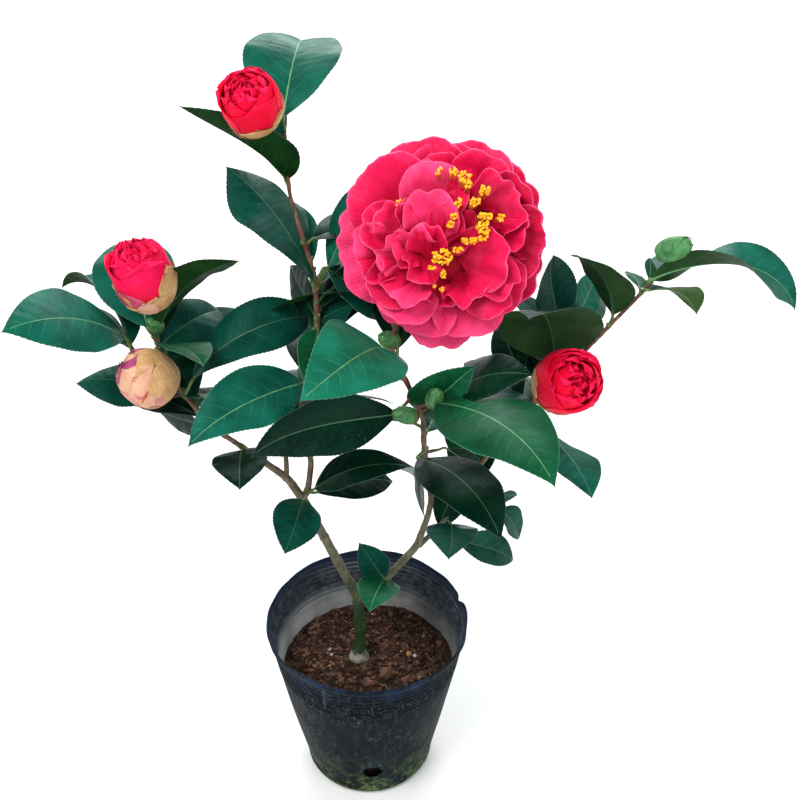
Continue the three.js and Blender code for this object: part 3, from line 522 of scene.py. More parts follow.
def add_leaf(piece, base, row, seed, fine, kind, dry=False, spin=None):
    """One blade, with both faces, its midrib, side veins, toothed margin and thickness."""
    heading, rise, roll, length, width, arch, sweep, fold, twist, curl, widest, fold2 = row
    h, e = math.radians(heading), math.radians(rise)
    T = way(heading, rise)
    N = V(-math.sin(e) * math.cos(h), -math.sin(e) * math.sin(h), math.cos(e))
    S = np.cross(N, T)
    N, S = turn(N, T, math.radians(roll)), turn(S, T, math.radians(roll))
    T0, N0 = T.copy(), N.copy()
    teeth = max(6, int(length / 2.5))
    if fine:
        ss = [0.0] + [(k + f) / teeth for k in range(teeth) for f in (0.04, 0.5, 0.94)][1:] + [1.0]
    else:
        ss = list(np.linspace(0, 1, max(16, int(length / 2.6))))
    side = [0, 0.3, 1, 2, 3, 4, 5, 6] if fine else [0, 0.3, 1, 2, 3, 4]
    cols = len(side)
    M = np.array(base, float)
    phase0 = rnd(seed, 1, 7)
    veins = max(6, round(length / 8.5))
    rows_top, rows_low, lay = [], [], []
    prev = 0.0
    for s in ss:
        steps = max(1, int(round((s - prev) * 48)))
        for k in range(steps):
            ds = (s - prev) / steps
            if ds <= 0:
                break
            sm = prev + (k + 0.5) * ds
            a = math.radians(arch + curl * 3 * sm * sm) * ds
            T, N = turn(T, S, a), turn(N, S, a)
            b = math.radians(sweep) * ds
            T, S = turn(T, N, b), turn(S, N, b)
            w = math.radians(twist) * ds
            N, S = turn(N, T, w), turn(S, T, w)
            M = M + T * length * ds
        prev = s
        f = math.radians(fold + (fold2 - fold) * s)
        half = width / 2 * float(blade_width(np.array(s), widest))
        saw = (s * teeth) % 1.0
        bite = 0.5 * min(1.0, length / 60) * (saw ** 1.3 - 0.35) * float(smooth(0.08, 0.2, s) * (1 - smooth(0.92, 0.99, s)))
        rib = min(half * 0.5, (0.46 - 0.32 * s) * (0.6 + length / 160))
        top, low, uv = [], [], []
        for sign in (-1, 1):
            N2, S2 = N, S
            if spin:  # a blade that turns over on its way
                k2 = math.radians(float(np.interp(s, spin[0], spin[1])))
                N2, S2 = turn(N, T, k2), turn(S, T, k2)
            across = S2 * math.cos(f) * -sign + N2 * math.sin(f)
            out = N2 * math.cos(f) + S2 * math.sin(f) * sign
            order = range(cols - 1, 0, -1) if sign < 0 else range(0, cols)
            for c in order:
                if c == 0:
                    x = 0.0
                elif c == 1:
                    x = rib
                elif c == cols - 1:
                    x = half + bite
                elif c == cols - 2:
                    x = max(rib * 1.02, half - 0.32)
                else:
                    x = rib + (half - 0.32 - rib) * ((c - 1) / (cols - 3)) if half > rib + 0.4 else rib + (half - rib) * (c - 1) / (cols - 1)
                q = x / max(half, 1e-3)
                ph = s * veins - (0.55 * x + 0.35 * x * q) / length * veins + (0.5 if sign > 0 else 0.0)
                d = abs((ph % 1.0) - 0.5) * 2  # 1 on a vein, 0 midway
                win = float(smooth(0.02, 0.25, q) * (1 - smooth(0.72, 0.97, q))) * float(smooth(0.0, 0.12, s) * (1 - smooth(0.86, 1.0, s)))
                z = (0.42 * (1 - d ** 2.2) - 0.10) * win * min(1.0, length / 70)
                z -= 0.30 * math.exp(-((x / 0.7) ** 2)) * (1 - 0.8 * s)
                wave = math.sin(2 * math.pi * (s * 2.1 + phase0) + sign * 0.8) * 0.55 + math.sin(2 * math.pi * (s * 4.3 + phase0 * 3)) * 0.25
                z += wave * q * q * half / 18
                z -= 0.035 * half * q ** 4
                p = M + across * x + out * z
                t = (0.16 if c >= cols - 2 else 0.26) + 0.55 * math.exp(-((x / 0.75) ** 2)) * (1 - 0.75 * s)
                top.append(p)
                low.append(p - out * t)
                uv.append((ph, q))
        rows_top.append(top)
        rows_low.append(low)
        lay.append(uv)
    n, m = len(ss), 2 * cols - 1
    verts = np.array(rows_top + rows_low).reshape(-1, 3)
    faces, kinds = [], []
    mid = cols - 1
    for i in range(n - 1):
        for j in range(m - 1):
            c = min(abs(j - mid), abs(j + 1 - mid))
            a = i * m + j
            edge = j == 0 or j == m - 2
            k = 2 if c == 0 and i < n * 0.93 else (3 if edge else 0)
            if dry and i > n * 0.88:
                k = 4
            faces.append((a, a + 1, a + m + 1, a + m))
            kinds.append(k)
            o = n * m
            faces.append((o + a, o + a + m, o + a + m + 1, o + a + 1))
            kinds.append(2 if c == 0 else (4 if k == 4 else 1))
    o = n * m
    for i in range(n - 1):
        for j, flip in ((0, False), (m - 1, True)):
            a, b = i * m + j, (i + 1) * m + j
            f4 = (a, b, b + o, a + o)
            faces.append(f4[::-1] if flip else f4)
            kinds.append(3)
    for i, flip in ((0, True), (n - 1, False)):
        for j in range(m - 1):
            a, b = i * m + j, i * m + j + 1
            f4 = (a, b, b + o, a + o)
            faces.append(f4[::-1] if flip else f4)
            kinds.append(2)
    uv = np.array(lay + lay).reshape(-1, 2)
    slots = piece.leaf_slots
    at = slots[kind]
    # kinds D, M, P and O take the dim rib and rim; on the dark kind this dimming is painted shade
    dim = 2 if kind in "DMPO" else 0
    table = {0: at, 1: slots["under_pale" if kind == "P" else "under"], 2: slots["rib"] + dim, 3: slots["rim"] + dim, 4: slots["dry"]}
    piece.add(verts, faces, [table[k] for k in kinds], uv)
    return T0, N0


def leaf_piece(name):
    p = Piece(name, [LEAF[k] for k in "TGMDPOB"] + [UNDER, RIB, RIM, RIB_DIM, RIM_DIM, DRY, UNDER_PALE])
    p.leaf_slots = {**{k: i for i, k in enumerate("TGMDPOB")}, "under": 7, "rib": 8, "rim": 9, "dry": 12, "under_pale": 13}
    return p


def bezier(a, b, c, d, n):
    t = np.linspace(0, 1, n)[:, None]
    return (1 - t) ** 3 * a + 3 * (1 - t) ** 2 * t * b + 3 * (1 - t) * t * t * c + t ** 3 * d


def add_stalk(piece, twig, limb, at, base, T0, N0, length):
    start = limb_at(limb, at)
    out = base - start
    d = np.linalg.norm(out)
    r = 0.55 + 0.006 * length
    if d > 13:  # a short woody side twig first
        knee = start + out * (d - 8) / d
        pts = bezier(start, start + out * 0.3 + V(0, 0, -0.6), knee - out * 0.2, knee, 9)
        v, f = tube(pts, np.linspace(1.25, 0.95, 9), 10, lambda i, a: 1 + 0.05 * math.sin(3 * a + i))
        twig.add(v, f, 0)
        start, out, d = knee, base - knee, np.linalg.norm(base - knee)
    a = start + unit(out) * d * 0.45 + V(0, 0, -0.3)
    b = base - T0 * min(d * 0.45, 4)
    pts = bezier(start, a, b, base, 9)
    tail = [base + T0 * k - N0 * (0.32 + 0.04 * k) for k in (1.5, 3.5, 6.0)]
    pts = list(pts) + tail
    radii = [r * 1.25, r * 1.12] + [r] * 6 + [r * 0.95, r * 0.75, r * 0.55, r * 0.3]
    v, f = tube(pts, radii, 9)
    piece.add(v, f, 0)


TURNING = ((0.0, 0.2, 0.38, 0.55, 0.8, 1.0), (-50, -20, 12, 42, 66, 80))
twigs = Piece("side_twigs", [None])
stalks = Piece("leaf_stalks", [STALK])
leaf_total = 0
leaf_pieces = []
for mass in dict.fromkeys([*LEAVES, *BEHIND]):
    piece = leaf_piece("leaves_" + mass)
    for i, (limb, at, sl, sh, sr, *row, kind) in enumerate(LEAVES.get(mass, [])):
        base = limb_at(limb, at) + way(sh, sr) * sl
        dry = "*" in kind
        T0, N0 = add_leaf(piece, base, row, leaf_total + 1, True, kind[0], dry, TURNING if "~" in kind else None)
        add_stalk(stalks, twigs, limb, at, base, T0, N0, row[3])
        leaf_total += 1
    if mass in BEHIND:
        limb, t0, t1, count, seed = BEHIND[mass]
        for i in range(count):
            u = [rnd(seed, i, j) for j in range(8)]
            at = t0 + (t1 - t0) * (i + 0.5) / count
            heading, rise = 90 + 80 * (2 * u[0] - 1), 5 + 50 * u[1]
            length = 56 + 24 * u[3]
            base = limb_at(limb, at) + way(heading, min(75, rise + 12)) * (5.5 + 3.5 * u[7])
            row = [heading, rise, 30 * (2 * u[2] - 1), length, length * (0.44 + 0.07 * u[4]), 22 + 40 * u[5], 0, 10, 24 * (2 * u[6] - 1), 8, 0.46, 4]
            if any(np.linalg.norm(base + way(heading, rise - 14 * k) * length * 0.25 * k - V(43, -16, 406)) < 44 for k in (1, 2, 3, 4)):
                continue  # no room beside the bloom
            T0, N0 = add_leaf(piece, base, row, seed + i, False, "MDMG"[i % 4])
            add_stalk(stalks, twigs, limb, at, base, T0, N0, length)
            leaf_total += 1
    leaf_pieces.append(piece.make(["foliage_" + mass], "leaves"))

# ---- bark -----------------------------------------------------------------------
def bark_material():
    m = Mat("bark", 0.7)
    z = m.axis("Z")
    patch = m.noise(140, 5, 0.6)
    long = m.noise(300, 4, 0.6, (1.0, 1.0, 0.22))
    low = m.mix(m.band(patch, 0.35, 0.65), srgb(60, 62, 44), srgb(104, 99, 74))
    mid = m.mix(m.band(patch, 0.35, 0.65), srgb(70, 54, 40), srgb(116, 96, 74))
    top = m.mix(m.band(patch, 0.35, 0.65), srgb(84, 42, 30), srgb(126, 78, 56))
    fresh = m.mix(m.band(patch, 0.35, 0.65), srgb(34, 60, 28), srgb(66, 86, 46))
    c = m.mix(m.band(z, 0.138, 0.178), fresh, low)
    c = m.mix(m.band(z, 0.19, 0.27), c, mid)
    c = m.mix(m.band(z, 0.27, 0.37), c, top)
    c = m.mix(m.band(long, 0.57, 0.71, 0, 0.55), c, srgb(148, 138, 118))
    c = m.mix(m.band(m.noise(520, 3), 0.6, 0.72, 0, 0.6), c, srgb(52, 42, 34))
    m.colour(c)
    m.rough(patch, 0.55, 0.8)
    m.bump(long, 0.5, 0.0006)
    m.bump(m.noise(900, 4), 0.4, 0.0003)
    return m.m


def stem_material():
    m = Mat("bark_green", 0.6)
    patch = m.noise(150, 5, 0.6)
    long = m.noise(320, 4, 0.6, (1.0, 1.0, 0.2))
    c = m.mix(m.band(patch, 0.35, 0.65), srgb(20, 46, 18), srgb(48, 70, 34))
    c = m.mix(m.band(long, 0.58, 0.72, 0, 0.45), c, srgb(88, 94, 66))
    m.colour(c)
    m.bump(long, 0.5, 0.0006)
    return m.m


def collar_material():
    m = Mat("graft_collar", 0.75)
    patch = m.noise(210, 5, 0.6)
    m.colour(m.mix(m.band(patch, 0.42, 0.6), srgb(84, 88, 66), srgb(172, 172, 158)))
    m.bump(m.noise(600, 4), 0.6, 0.0005)
    return m.m


BARK, STEM, COLLAR = bark_material(), stem_material(), collar_material()
twigs.materials = [BARK]


def limb_run(name):
    """The limb's centre line, gently rounded at its bends, with shares."""
    pts, s, length = RUN[name]
    share = np.linspace(0, 1, int(length / 0.9) + 2)
    line = np.array([[np.interp(t, s, pts[:, k]) for k in range(3)] for t in share])
    w = 7
    pad = np.concatenate([np.repeat(line[:1], w, 0), line, np.repeat(line[-1:], w, 0)])
    kernel = np.hanning(2 * w + 3)[1:-1]
    kernel /= kernel.sum()
    line2 = np.stack([np.convolve(pad[:, k], kernel, "valid") for k in range(3)], 1)
    line2[0], line2[-1] = line[0], line[-1]
    return line2, share, length


def nodes_on(limb):
    at = []
    for mass, rows in LEAVES.items():
        at += [r[1] for r in rows if r[0] == limb]
    for mass, (l, t0, t1, count, seed) in BEHIND.items():
        if l == limb:
            at += [t0 + (t1 - t0) * (i + 0.5) / count for i in range(count)]
    return sorted(at)


def add_limb(piece, name, kind, extra=None, sides=20):
    line, share, length = limb_run(name)
    at = nodes_on(name)
    old = list(np.linspace(0.06, 0.95, max(3, int(length / 24))))
    radii = []
    for t in share:
        r = limb_radius(name, t)
        swell = max([math.exp(-(((t - a) * length / 2.2) ** 2)) for a in at] or [0]) * 0.26
        scar = max([math.exp(-(((t - a) * length / 1.1) ** 2)) for a in old]) * 0.10
        radii.append(r * (1 + swell + scar) + (extra(t, length) if extra else 0))
    seed = len(name) * 3.7

    def relief(i, a):
        p = line[i] * 0.22
        c, s = math.cos(a), math.sin(a)
        r = 1 + 0.05 * fuzz(p[0] + c * 1.4, p[1] + s * 1.4, p[2] + seed)
        r += 0.045 * fuzz(c * 3.2 + seed, s * 3.2, line[i][2] * 0.12)
        r += 0.03 * fuzz(c * 5 + seed, s * 5, line[i][2] * 0.5)
        return r

    v, f = tube(line, radii, sides, relief)
    kinds = [kind(share[min(len(share) - 1, q[0] // sides)], q) if callable(kind) else kind for q in f]
    piece.add(v, f, kinds)


def axil_bud(piece, name, t, heading, size, kind=0):
    c = limb_at(name, t)
    d = unit(way(heading, 35) + limb_way(name, min(0.98, t)) * 0.6)
    x = unit(np.cross(d, V(0, 0, 1)) + 1e-6)
    y = np.cross(d, x)
    v, f = [], []
    rows, n = 9, 9
    for i in range(rows):
        s = i / (rows - 1)
        r = size * 0.36 * (math.sin(math.pi * min(1, s * 0.82 + 0.16)) ** 0.8) * (1 - s ** 4 * 0.9) + 0.02
        for k in range(n):
            a = 2 * math.pi * k / n
            v.append(c + d * (limb_radius(name, t) * 0.6 + s * size) + (x * math.cos(a) + y * math.sin(a)) * r)
    f = grid_faces(rows, n, closed=True)
    v += [v[0] * 0 + c, c + d * (limb_radius(name, t) * 0.6 + size * 1.02)]
    f += [(rows * n, (k + 1) % n, k) for k in range(n)]
    e = (rows - 1) * n
    f += [(rows * n + 1, e + k, e + (k + 1) % n) for k in range(n)]
    piece.add(v, f, kind)


stem = Piece("stem_bark", [STEM, COLLAR])


def stem_extra(t, length):
    return 3.0 * math.exp(-t / 0.06) + 0.7 * math.exp(-(((t - 0.15) / 0.07) ** 2)) - 0.15


def stem_kind(t, q):
    c = stem.collar_noise(q)
    return 1 if t < 0.17 + c * (1 + 3 * math.sin(0.35 * (q[0] % 28))) else 0


stem.collar_noise = lambda q: 0.02 * math.sin((q[0] % 28) * 0.45 + 1.0)
add_limb(stem, "stem", stem_kind, stem_extra, 28)
stem.make(["stem"], "bark")

BARK_PIECES = (
    ("left_bark", ["left", "leftTwig"], ["bough_left"]),
    ("centre_bark", ["centre"], ["bough_centre", "bough_top"]),
    ("inner_bark", ["inner"], ["bough_inner"]),
    ("right_bark", ["right"], ["bough_right"]),
    ("outer_bark", ["outer"], ["bough_outer", "bough_outer_mid", "bough_tip"]),
)
for piece_name, limbs, stands in BARK_PIECES:
    piece = Piece(piece_name, [BARK])
    for name in limbs:
        add_limb(piece, name, 0)
    piece.make(stands, "bark")
BUD_GREEN = plain("bud_green", (84, 146, 84), (50, 108, 58), 0.4, 190, 0.15)
AXIL = plain("axil_bud", (92, 118, 62), (70, 88, 48), 0.5, 190, 0.15)
axils = Piece("axil_buds", [AXIL])
for name in RUN:
    for i, t in enumerate(nodes_on(name)):
        axil_bud(axils, name, t, rnd(i, 3, len(name)) * 360, 2.5 + 1.4 * rnd(i, 5, 2))
twigs.make([], "bark")
stalks.make([], "leaves")
axils.make([], "green_bud")


# ---- bloom ------------------------------------------------------------------------
def petal_material(name, base, deep, tip, rough=0.55):
    m = Mat(name, rough, Sheen_Weight=0.1, Sheen_Roughness=0.45, Sheen_Tint=(1.0, 0.25, 0.5, 1.0), Specular_IOR_Level=0.12,
            Subsurface_Weight=0.0)
    u, v = m.lay("X"), m.lay("Y")
    c = m.mix(m.band(v, 0.3, 0.92), srgb(*deep), srgb(*base))
    # paler toward the margin: painted highlight along the rim
    c = m.mix(m.band(v, 0.93, 1.0, 0.0, 0.25), c, srgb(*tip))
    c = m.mix(m.band(m.noise(120, 4), 0.4, 0.66, 0, 0.4), c, srgb(*deep))
    c = m.mix(m.band(m.noise(34, 4, 0.6), 0.5, 0.66, 0, 0.25), c, srgb(*tip))
    m.rough(m.noise(240, 3), rough - 0.08, rough + 0.08)
    # fine lines that run from the claw to the margin
    w = m.n.new("ShaderNodeTexWave")
    w.wave_profile = "SIN"
    w.bands_direction = "X"
    w.inputs["Scale"].default_value = 9.0
    w.inputs["Distortion"].default_value = 5.0
    w.inputs["Detail"].default_value = 4.0
    w.inputs["Detail Scale"].default_value = 1.2
    uv = m.n.new("ShaderNodeUVMap")
    uv.uv_map = "lay"
    m.l.new(uv.outputs[0], w.inputs["Vector"])
    m.colour(m.mix(m.band(w.outputs["Fac"], 0.45, 0.95, 0.0, 0.17), c, srgb(*deep)))
    m.bump(w.outputs["Fac"], 0.4, 0.0004)
    m.bump(m.noise(500, 4), 0.3, 0.0003)
    return m.m


# Three copies of one petal material: the plain colour, a paler copy that is painted light on the petals facing the
# lamp, and a darker copy that is painted shade on the petals turned away from it.
PETAL = petal_material("petal", (234, 20, 84), (190, 2, 48), (242, 90, 138))
PETAL_PAINTED_LIGHT = petal_material("petal_painted_light", (246, 62, 122), (216, 18, 74), (250, 124, 166))
PETAL_PAINTED_SHADE = petal_material("petal_painted_shade", (208, 6, 62), (150, 0, 32), (226, 48, 98))
PETAL_EDGE_PAINTED_HIGHLIGHT = plain("petal_edge_painted_highlight", (248, 98, 144), (236, 52, 110), 0.5, 160, Specular_IOR_Level=0.12)
ANTHER = plain("anther", (255, 204, 26), (242, 160, 10), 0.55, 380, 0.3)
FILAMENT = plain("filament", (240, 150, 60), (226, 96, 60), 0.5, 200)
SEPAL = plain("sepal", (112, 118, 62), (86, 78, 44), 0.6, 160, 0.3)

BLOOM_AT = V(43.4, -22.0, 410.0)
BLOOM_W = unit(V(-20.8, -486.0, 202.0))
BLOOM_U = unit(V(1, 0, 0) - BLOOM_W * BLOOM_W[0])
BLOOM_V = np.cross(BLOOM_W, BLOOM_U)


def bloom_point(u, v, w):
    return BLOOM_AT + BLOOM_U * u + BLOOM_V * v + BLOOM_W * w


def add_petal(piece, base, tip, width, roll=0, bend=0, cup=0.0, ruffle=1.5, waves=3, crumple=1.0, notch=0.08, edge=1.0, seed=1, kind=0, rows=22, cols=36, spread=52):
    """One petal: a fan of lines from its claw, bent, cupped, ruffled and given thickness."""
    D = unit(tip - base)
    length = np.linalg.norm(tip - base) * (1 + abs(math.radians(bend)) ** 2 / 24)
    flat = BLOOM_W - D * (BLOOM_W @ D)
    N = unit(flat) if np.linalg.norm(flat) > 0.15 else unit(BLOOM_V - D * (BLOOM_V @ D))
    S = np.cross(D, N)
    N, S = turn(N, D, math.radians(roll)), turn(S, D, math.radians(roll))
    D0 = turn(D, S, -math.radians(bend) * 0.5)
    N0 = turn(N, S, -math.radians(bend) * 0.5)
    fan = math.radians(spread)
    reach = []
    for j in range(cols + 1):
        q = 2 * j / cols - 1
        R = 1 - 0.42 * abs(q) ** 2.6 - notch * math.exp(-((q / 0.10) ** 2))
        R *= 1 + 0.035 * fuzz(q * 3.1, seed * 1.7, 2.0) + 0.018 * fuzz(q * 11.0, seed * 2.3, 5.0)
        reach.append((q, R))
    half = max(r * math.sin(fan * q) for q, r in reach)
    kx = (width / 2) / (half * length)
    p1, p2, p3 = (rnd(seed, 2, k) * 6.283 for k in range(3))
    top, low, uv = [], [], []
    for i in range(rows + 1):
        rho = 1.0 if i == rows else 0.984 * (i / (rows - 1)) ** 0.92
        for q, R in reach:
            x = rho * R * math.sin(fan * q) * length * kx
            y = rho * R * math.cos(fan * q) * length
            yy = max(0.0, min(1.15, y / length))
            hx = x / (width / 2)
            z = cup * width * 0.5 * hx * hx * (0.35 + 0.65 * rho)
            z += ruffle * rho ** 2.2 * math.sin(waves * q * 2.6 + p1 + 0.9 * fuzz(q * 1.7, rho, seed))
            z += 0.34 * ruffle * rho ** 3.2 * math.sin(waves * q * 4.8 + p2 + 1.6 * fuzz(q * 2, seed, 3.0))
            z += crumple * rho * (1.7 * fuzz(x / 9 + seed, y / 10, seed * 0.7) + 0.55 * fuzz(x / 4.4, y / 7 + seed, seed * 1.3))
            z += 0.74 * ruffle * rho ** 1.4 * (abs(math.sin(q * (1.5 + 1.9 * waves) + p3 + 1.5 * fuzz(q * 2.2 + seed, rho * 1.6, seed))) - 0.6)
            z += 0.45 * ruffle * rho ** 2 * fuzz(q * 5.5 + seed * 3, rho * 2.6, seed * 0.9)
            z += 0.10 * rho * math.sin(q * 46 + 2.5 * fuzz(q * 4, y / 10, seed) + p3)
            back = max(0.0, (rho - 0.86) / 0.14)
            z -= edge * 0.7 * back * back
            a = math.radians(bend) * yy
            # the midline is an arc
            k = math.radians(bend)
            if abs(k) > 1e-3:
                my, mz = math.sin(k * yy) / k * length, (1 - math.cos(k * yy)) / k * length
            else:
                my, mz = yy * length, 0.0
            n = N0 * math.cos(a) - D0 * math.sin(a)
            pt = base + D0 * my + N0 * mz + S * x + n * z
            if y / length > 1.15:
                pt = pt + (D0 * math.cos(a) + N0 * math.sin(a)) * (y - 1.15 * length)
            t = 0.22 + 0.45 * (1 - rho)
            top.append(pt + n * t / 2)
            low.append(pt - n * t / 2)
            uv.append((q * 0.5 + 0.5 + seed * 0.37, rho))
    m = cols + 1
    faces, kinds = [], []
    o = len(top)
    for i in range(rows):
        for j in range(cols):
            a = i * m + j
            # the last row takes the pale edge colour: painted highlight
            k = 3 if i >= rows - 1 and edge > 0 else kind
            faces += [(a, a + m, a + m + 1, a + 1), (o + a, o + a + 1, o + a + m + 1, o + a + m)]
            kinds += [k, k]
    # the outer cut rim, in the pale edge colour too: painted highlight
    for j in range(cols):
        a = rows * m + j
        faces.append((a, a + o, a + o + 1, a + 1))
        kinds.append(3 if edge > 0 else kind)
    for i in range(rows):
        a, b = i * m, i * m + cols
        faces += [(a, a + o, a + m + o, a + m), (b, b + m, b + m + o, b + o)]
        kinds += [kind, kind]
    piece.add(top + low, faces, kinds, uv + uv)


# petals: claw (right, up, out), tip (right, up, out), width, roll, bend, cup, ruffle, waves, crumple, notch, edge, kind
# (0 plain, 1 paler copy for painted light, 2 darker copy for painted shade)
OUTER = [
    ((-3.5, 11.3, -24.0), (-11.3, 56.0, -12.0), 46.9, 0, -14, 0.1, 1.4, 2, 1.3, 0.04, 1, 0),
    ((0.9, 11.3, -22.0), (3.5, 53.8, -14.0), 41.7, 8, -10, 0.1, 1.12, 2, 1.3, 0.03, 1, 0),
    ((6.1, 9.5, -22.0), (27.8, 51.6, -14.0), 43.4, -8, -12, 0.1, 1.26, 2, 1.56, 0.04, 1, 0),
    ((9.5, 6.1, -22.0), (47.7, 34.7, -14.0), 43.4, 6, -12, 0.1, 1.26, 2, 1.56, 0.05, 1, 2),
    ((9.5, 0.0, -22.0), (55.6, 7.8, -14.0), 41.7, 0, -12, 0.08, 1.26, 2, 1.56, 0.05, 1, 2),
    ((9.5, -6.1, -22.0), (53.8, -18.2, -12.0), 39.9, -6, -14, 0.08, 1.26, 2, 1.56, 0.05, 1, 2),
    ((7.8, -9.5, -22.0), (37.3, -35.6, -14.0), 39.9, 0, -10, 0.08, 1.12, 2, 1.3, 0.05, 1, 0),
    ((0.9, -9.5, -24.0), (1.7, -56.0, -12.0), 43.4, 0, -8, 0.12, 1.12, 2, 1.3, 0.05, 1, 1),
    ((-4.3, -9.5, -22.0), (-22.6, -44.3, -12.0), 39.9, 6, -12, 0.1, 1.4, 2, 1.56, 0.04, 1, 1),
    ((-7.8, -4.3, -22.0), (-53.4, -12.2, -10.0), 45.1, 0, -14, 0.1, 1.4, 2, 1.56, 0.05, 1, 1),
    ((-7.8, 0.9, -22.0), (-55.7, 7.8, -10.0), 36.5, -6, -14, 0.1, 1.4, 2, 1.56, 0.05, 1, 1),
    ((-6.1, 6.1, -22.0), (-44.3, 22.6, -14.0), 34.7, 8, -12, 0.1, 1.12, 2, 1.3, 0.04, 1, 0),
    ((-7.8, 6.1, -12.0), (-39.5, 39.5, -2.0), 48.6, -6, -26, 0.18, 1, 2, 0.8, 0.02, 1, 0),
    ((0.9, 14.8, -12.0), (9.5, 46.9, -4.0), 36.5, 10, -16, 0.16, 2.2, 4, 1.4, 0.05, 1, 0),
    ((-4.3, 14.8, -10.0), (-4.3, 43.4, 2.0), 26.0, -14, -20, 0.3, 2, 3, 1.6, 0.03, 1, 0),
    ((13.9, 18.2, -10.0), (26.9, 46.0, 0.0), 34.7, -12, -12, 0.2, 2.6, 3, 1.8, 0.05, 1, 0),
    ((21.7, 14.8, -6.0), (42.5, 32.1, 6.0), 31.2, 14, -18, 0.22, 2.6, 3, 1.8, 0.05, 1, 2),
    ((23.4, 13.0, -2.0), (42.5, 19.1, 12.0), 26.0, -18, -22, 0.26, 2.6, 3, 1.8, 0.05, 1, 0),
    ((18.2, 18.2, -2.0), (32.1, 34.7, 12.0), 24.3, 20, -22, 0.28, 2.4, 3, 1.8, 0.05, 1, 0),
    ((26.9, 4.3, -8.0), (53.8, 11.3, 2.0), 29.5, 14, -14, 0.22, 2.8, 3, 2, 0.05, 1, 2),
    ((25.2, -2.6, -8.0), (52.9, -6.1, 0.0), 29.5, -8, -12, 0.2, 2.8, 3, 2, 0.05, 1, 2),
    ((23.4, 6.1, -2.0), (45.1, 6.9, 10.0), 24.3, -18, -20, 0.28, 2.6, 3, 1.8, 0.05, 1, 0),
    ((18.2, -14.8, -8.0), (44.3, -25.2, 2.0), 32.1, 10, -16, 0.2, 2.4, 3, 1.8, 0.05, 1, 0),
    ((13.9, -20.8, -10.0), (15.6, -49.0, -2.0), 38.2, 0, -20, 0.16, 1.8, 3, 1.2, 0.04, 1, 1),
    ((-2.6, -20.0, -10.0), (-8.7, -48.4, -2.0), 30.4, 0, -22, 0.2, 1.2, 2, 0.8, 0.02, 1, 1),
]
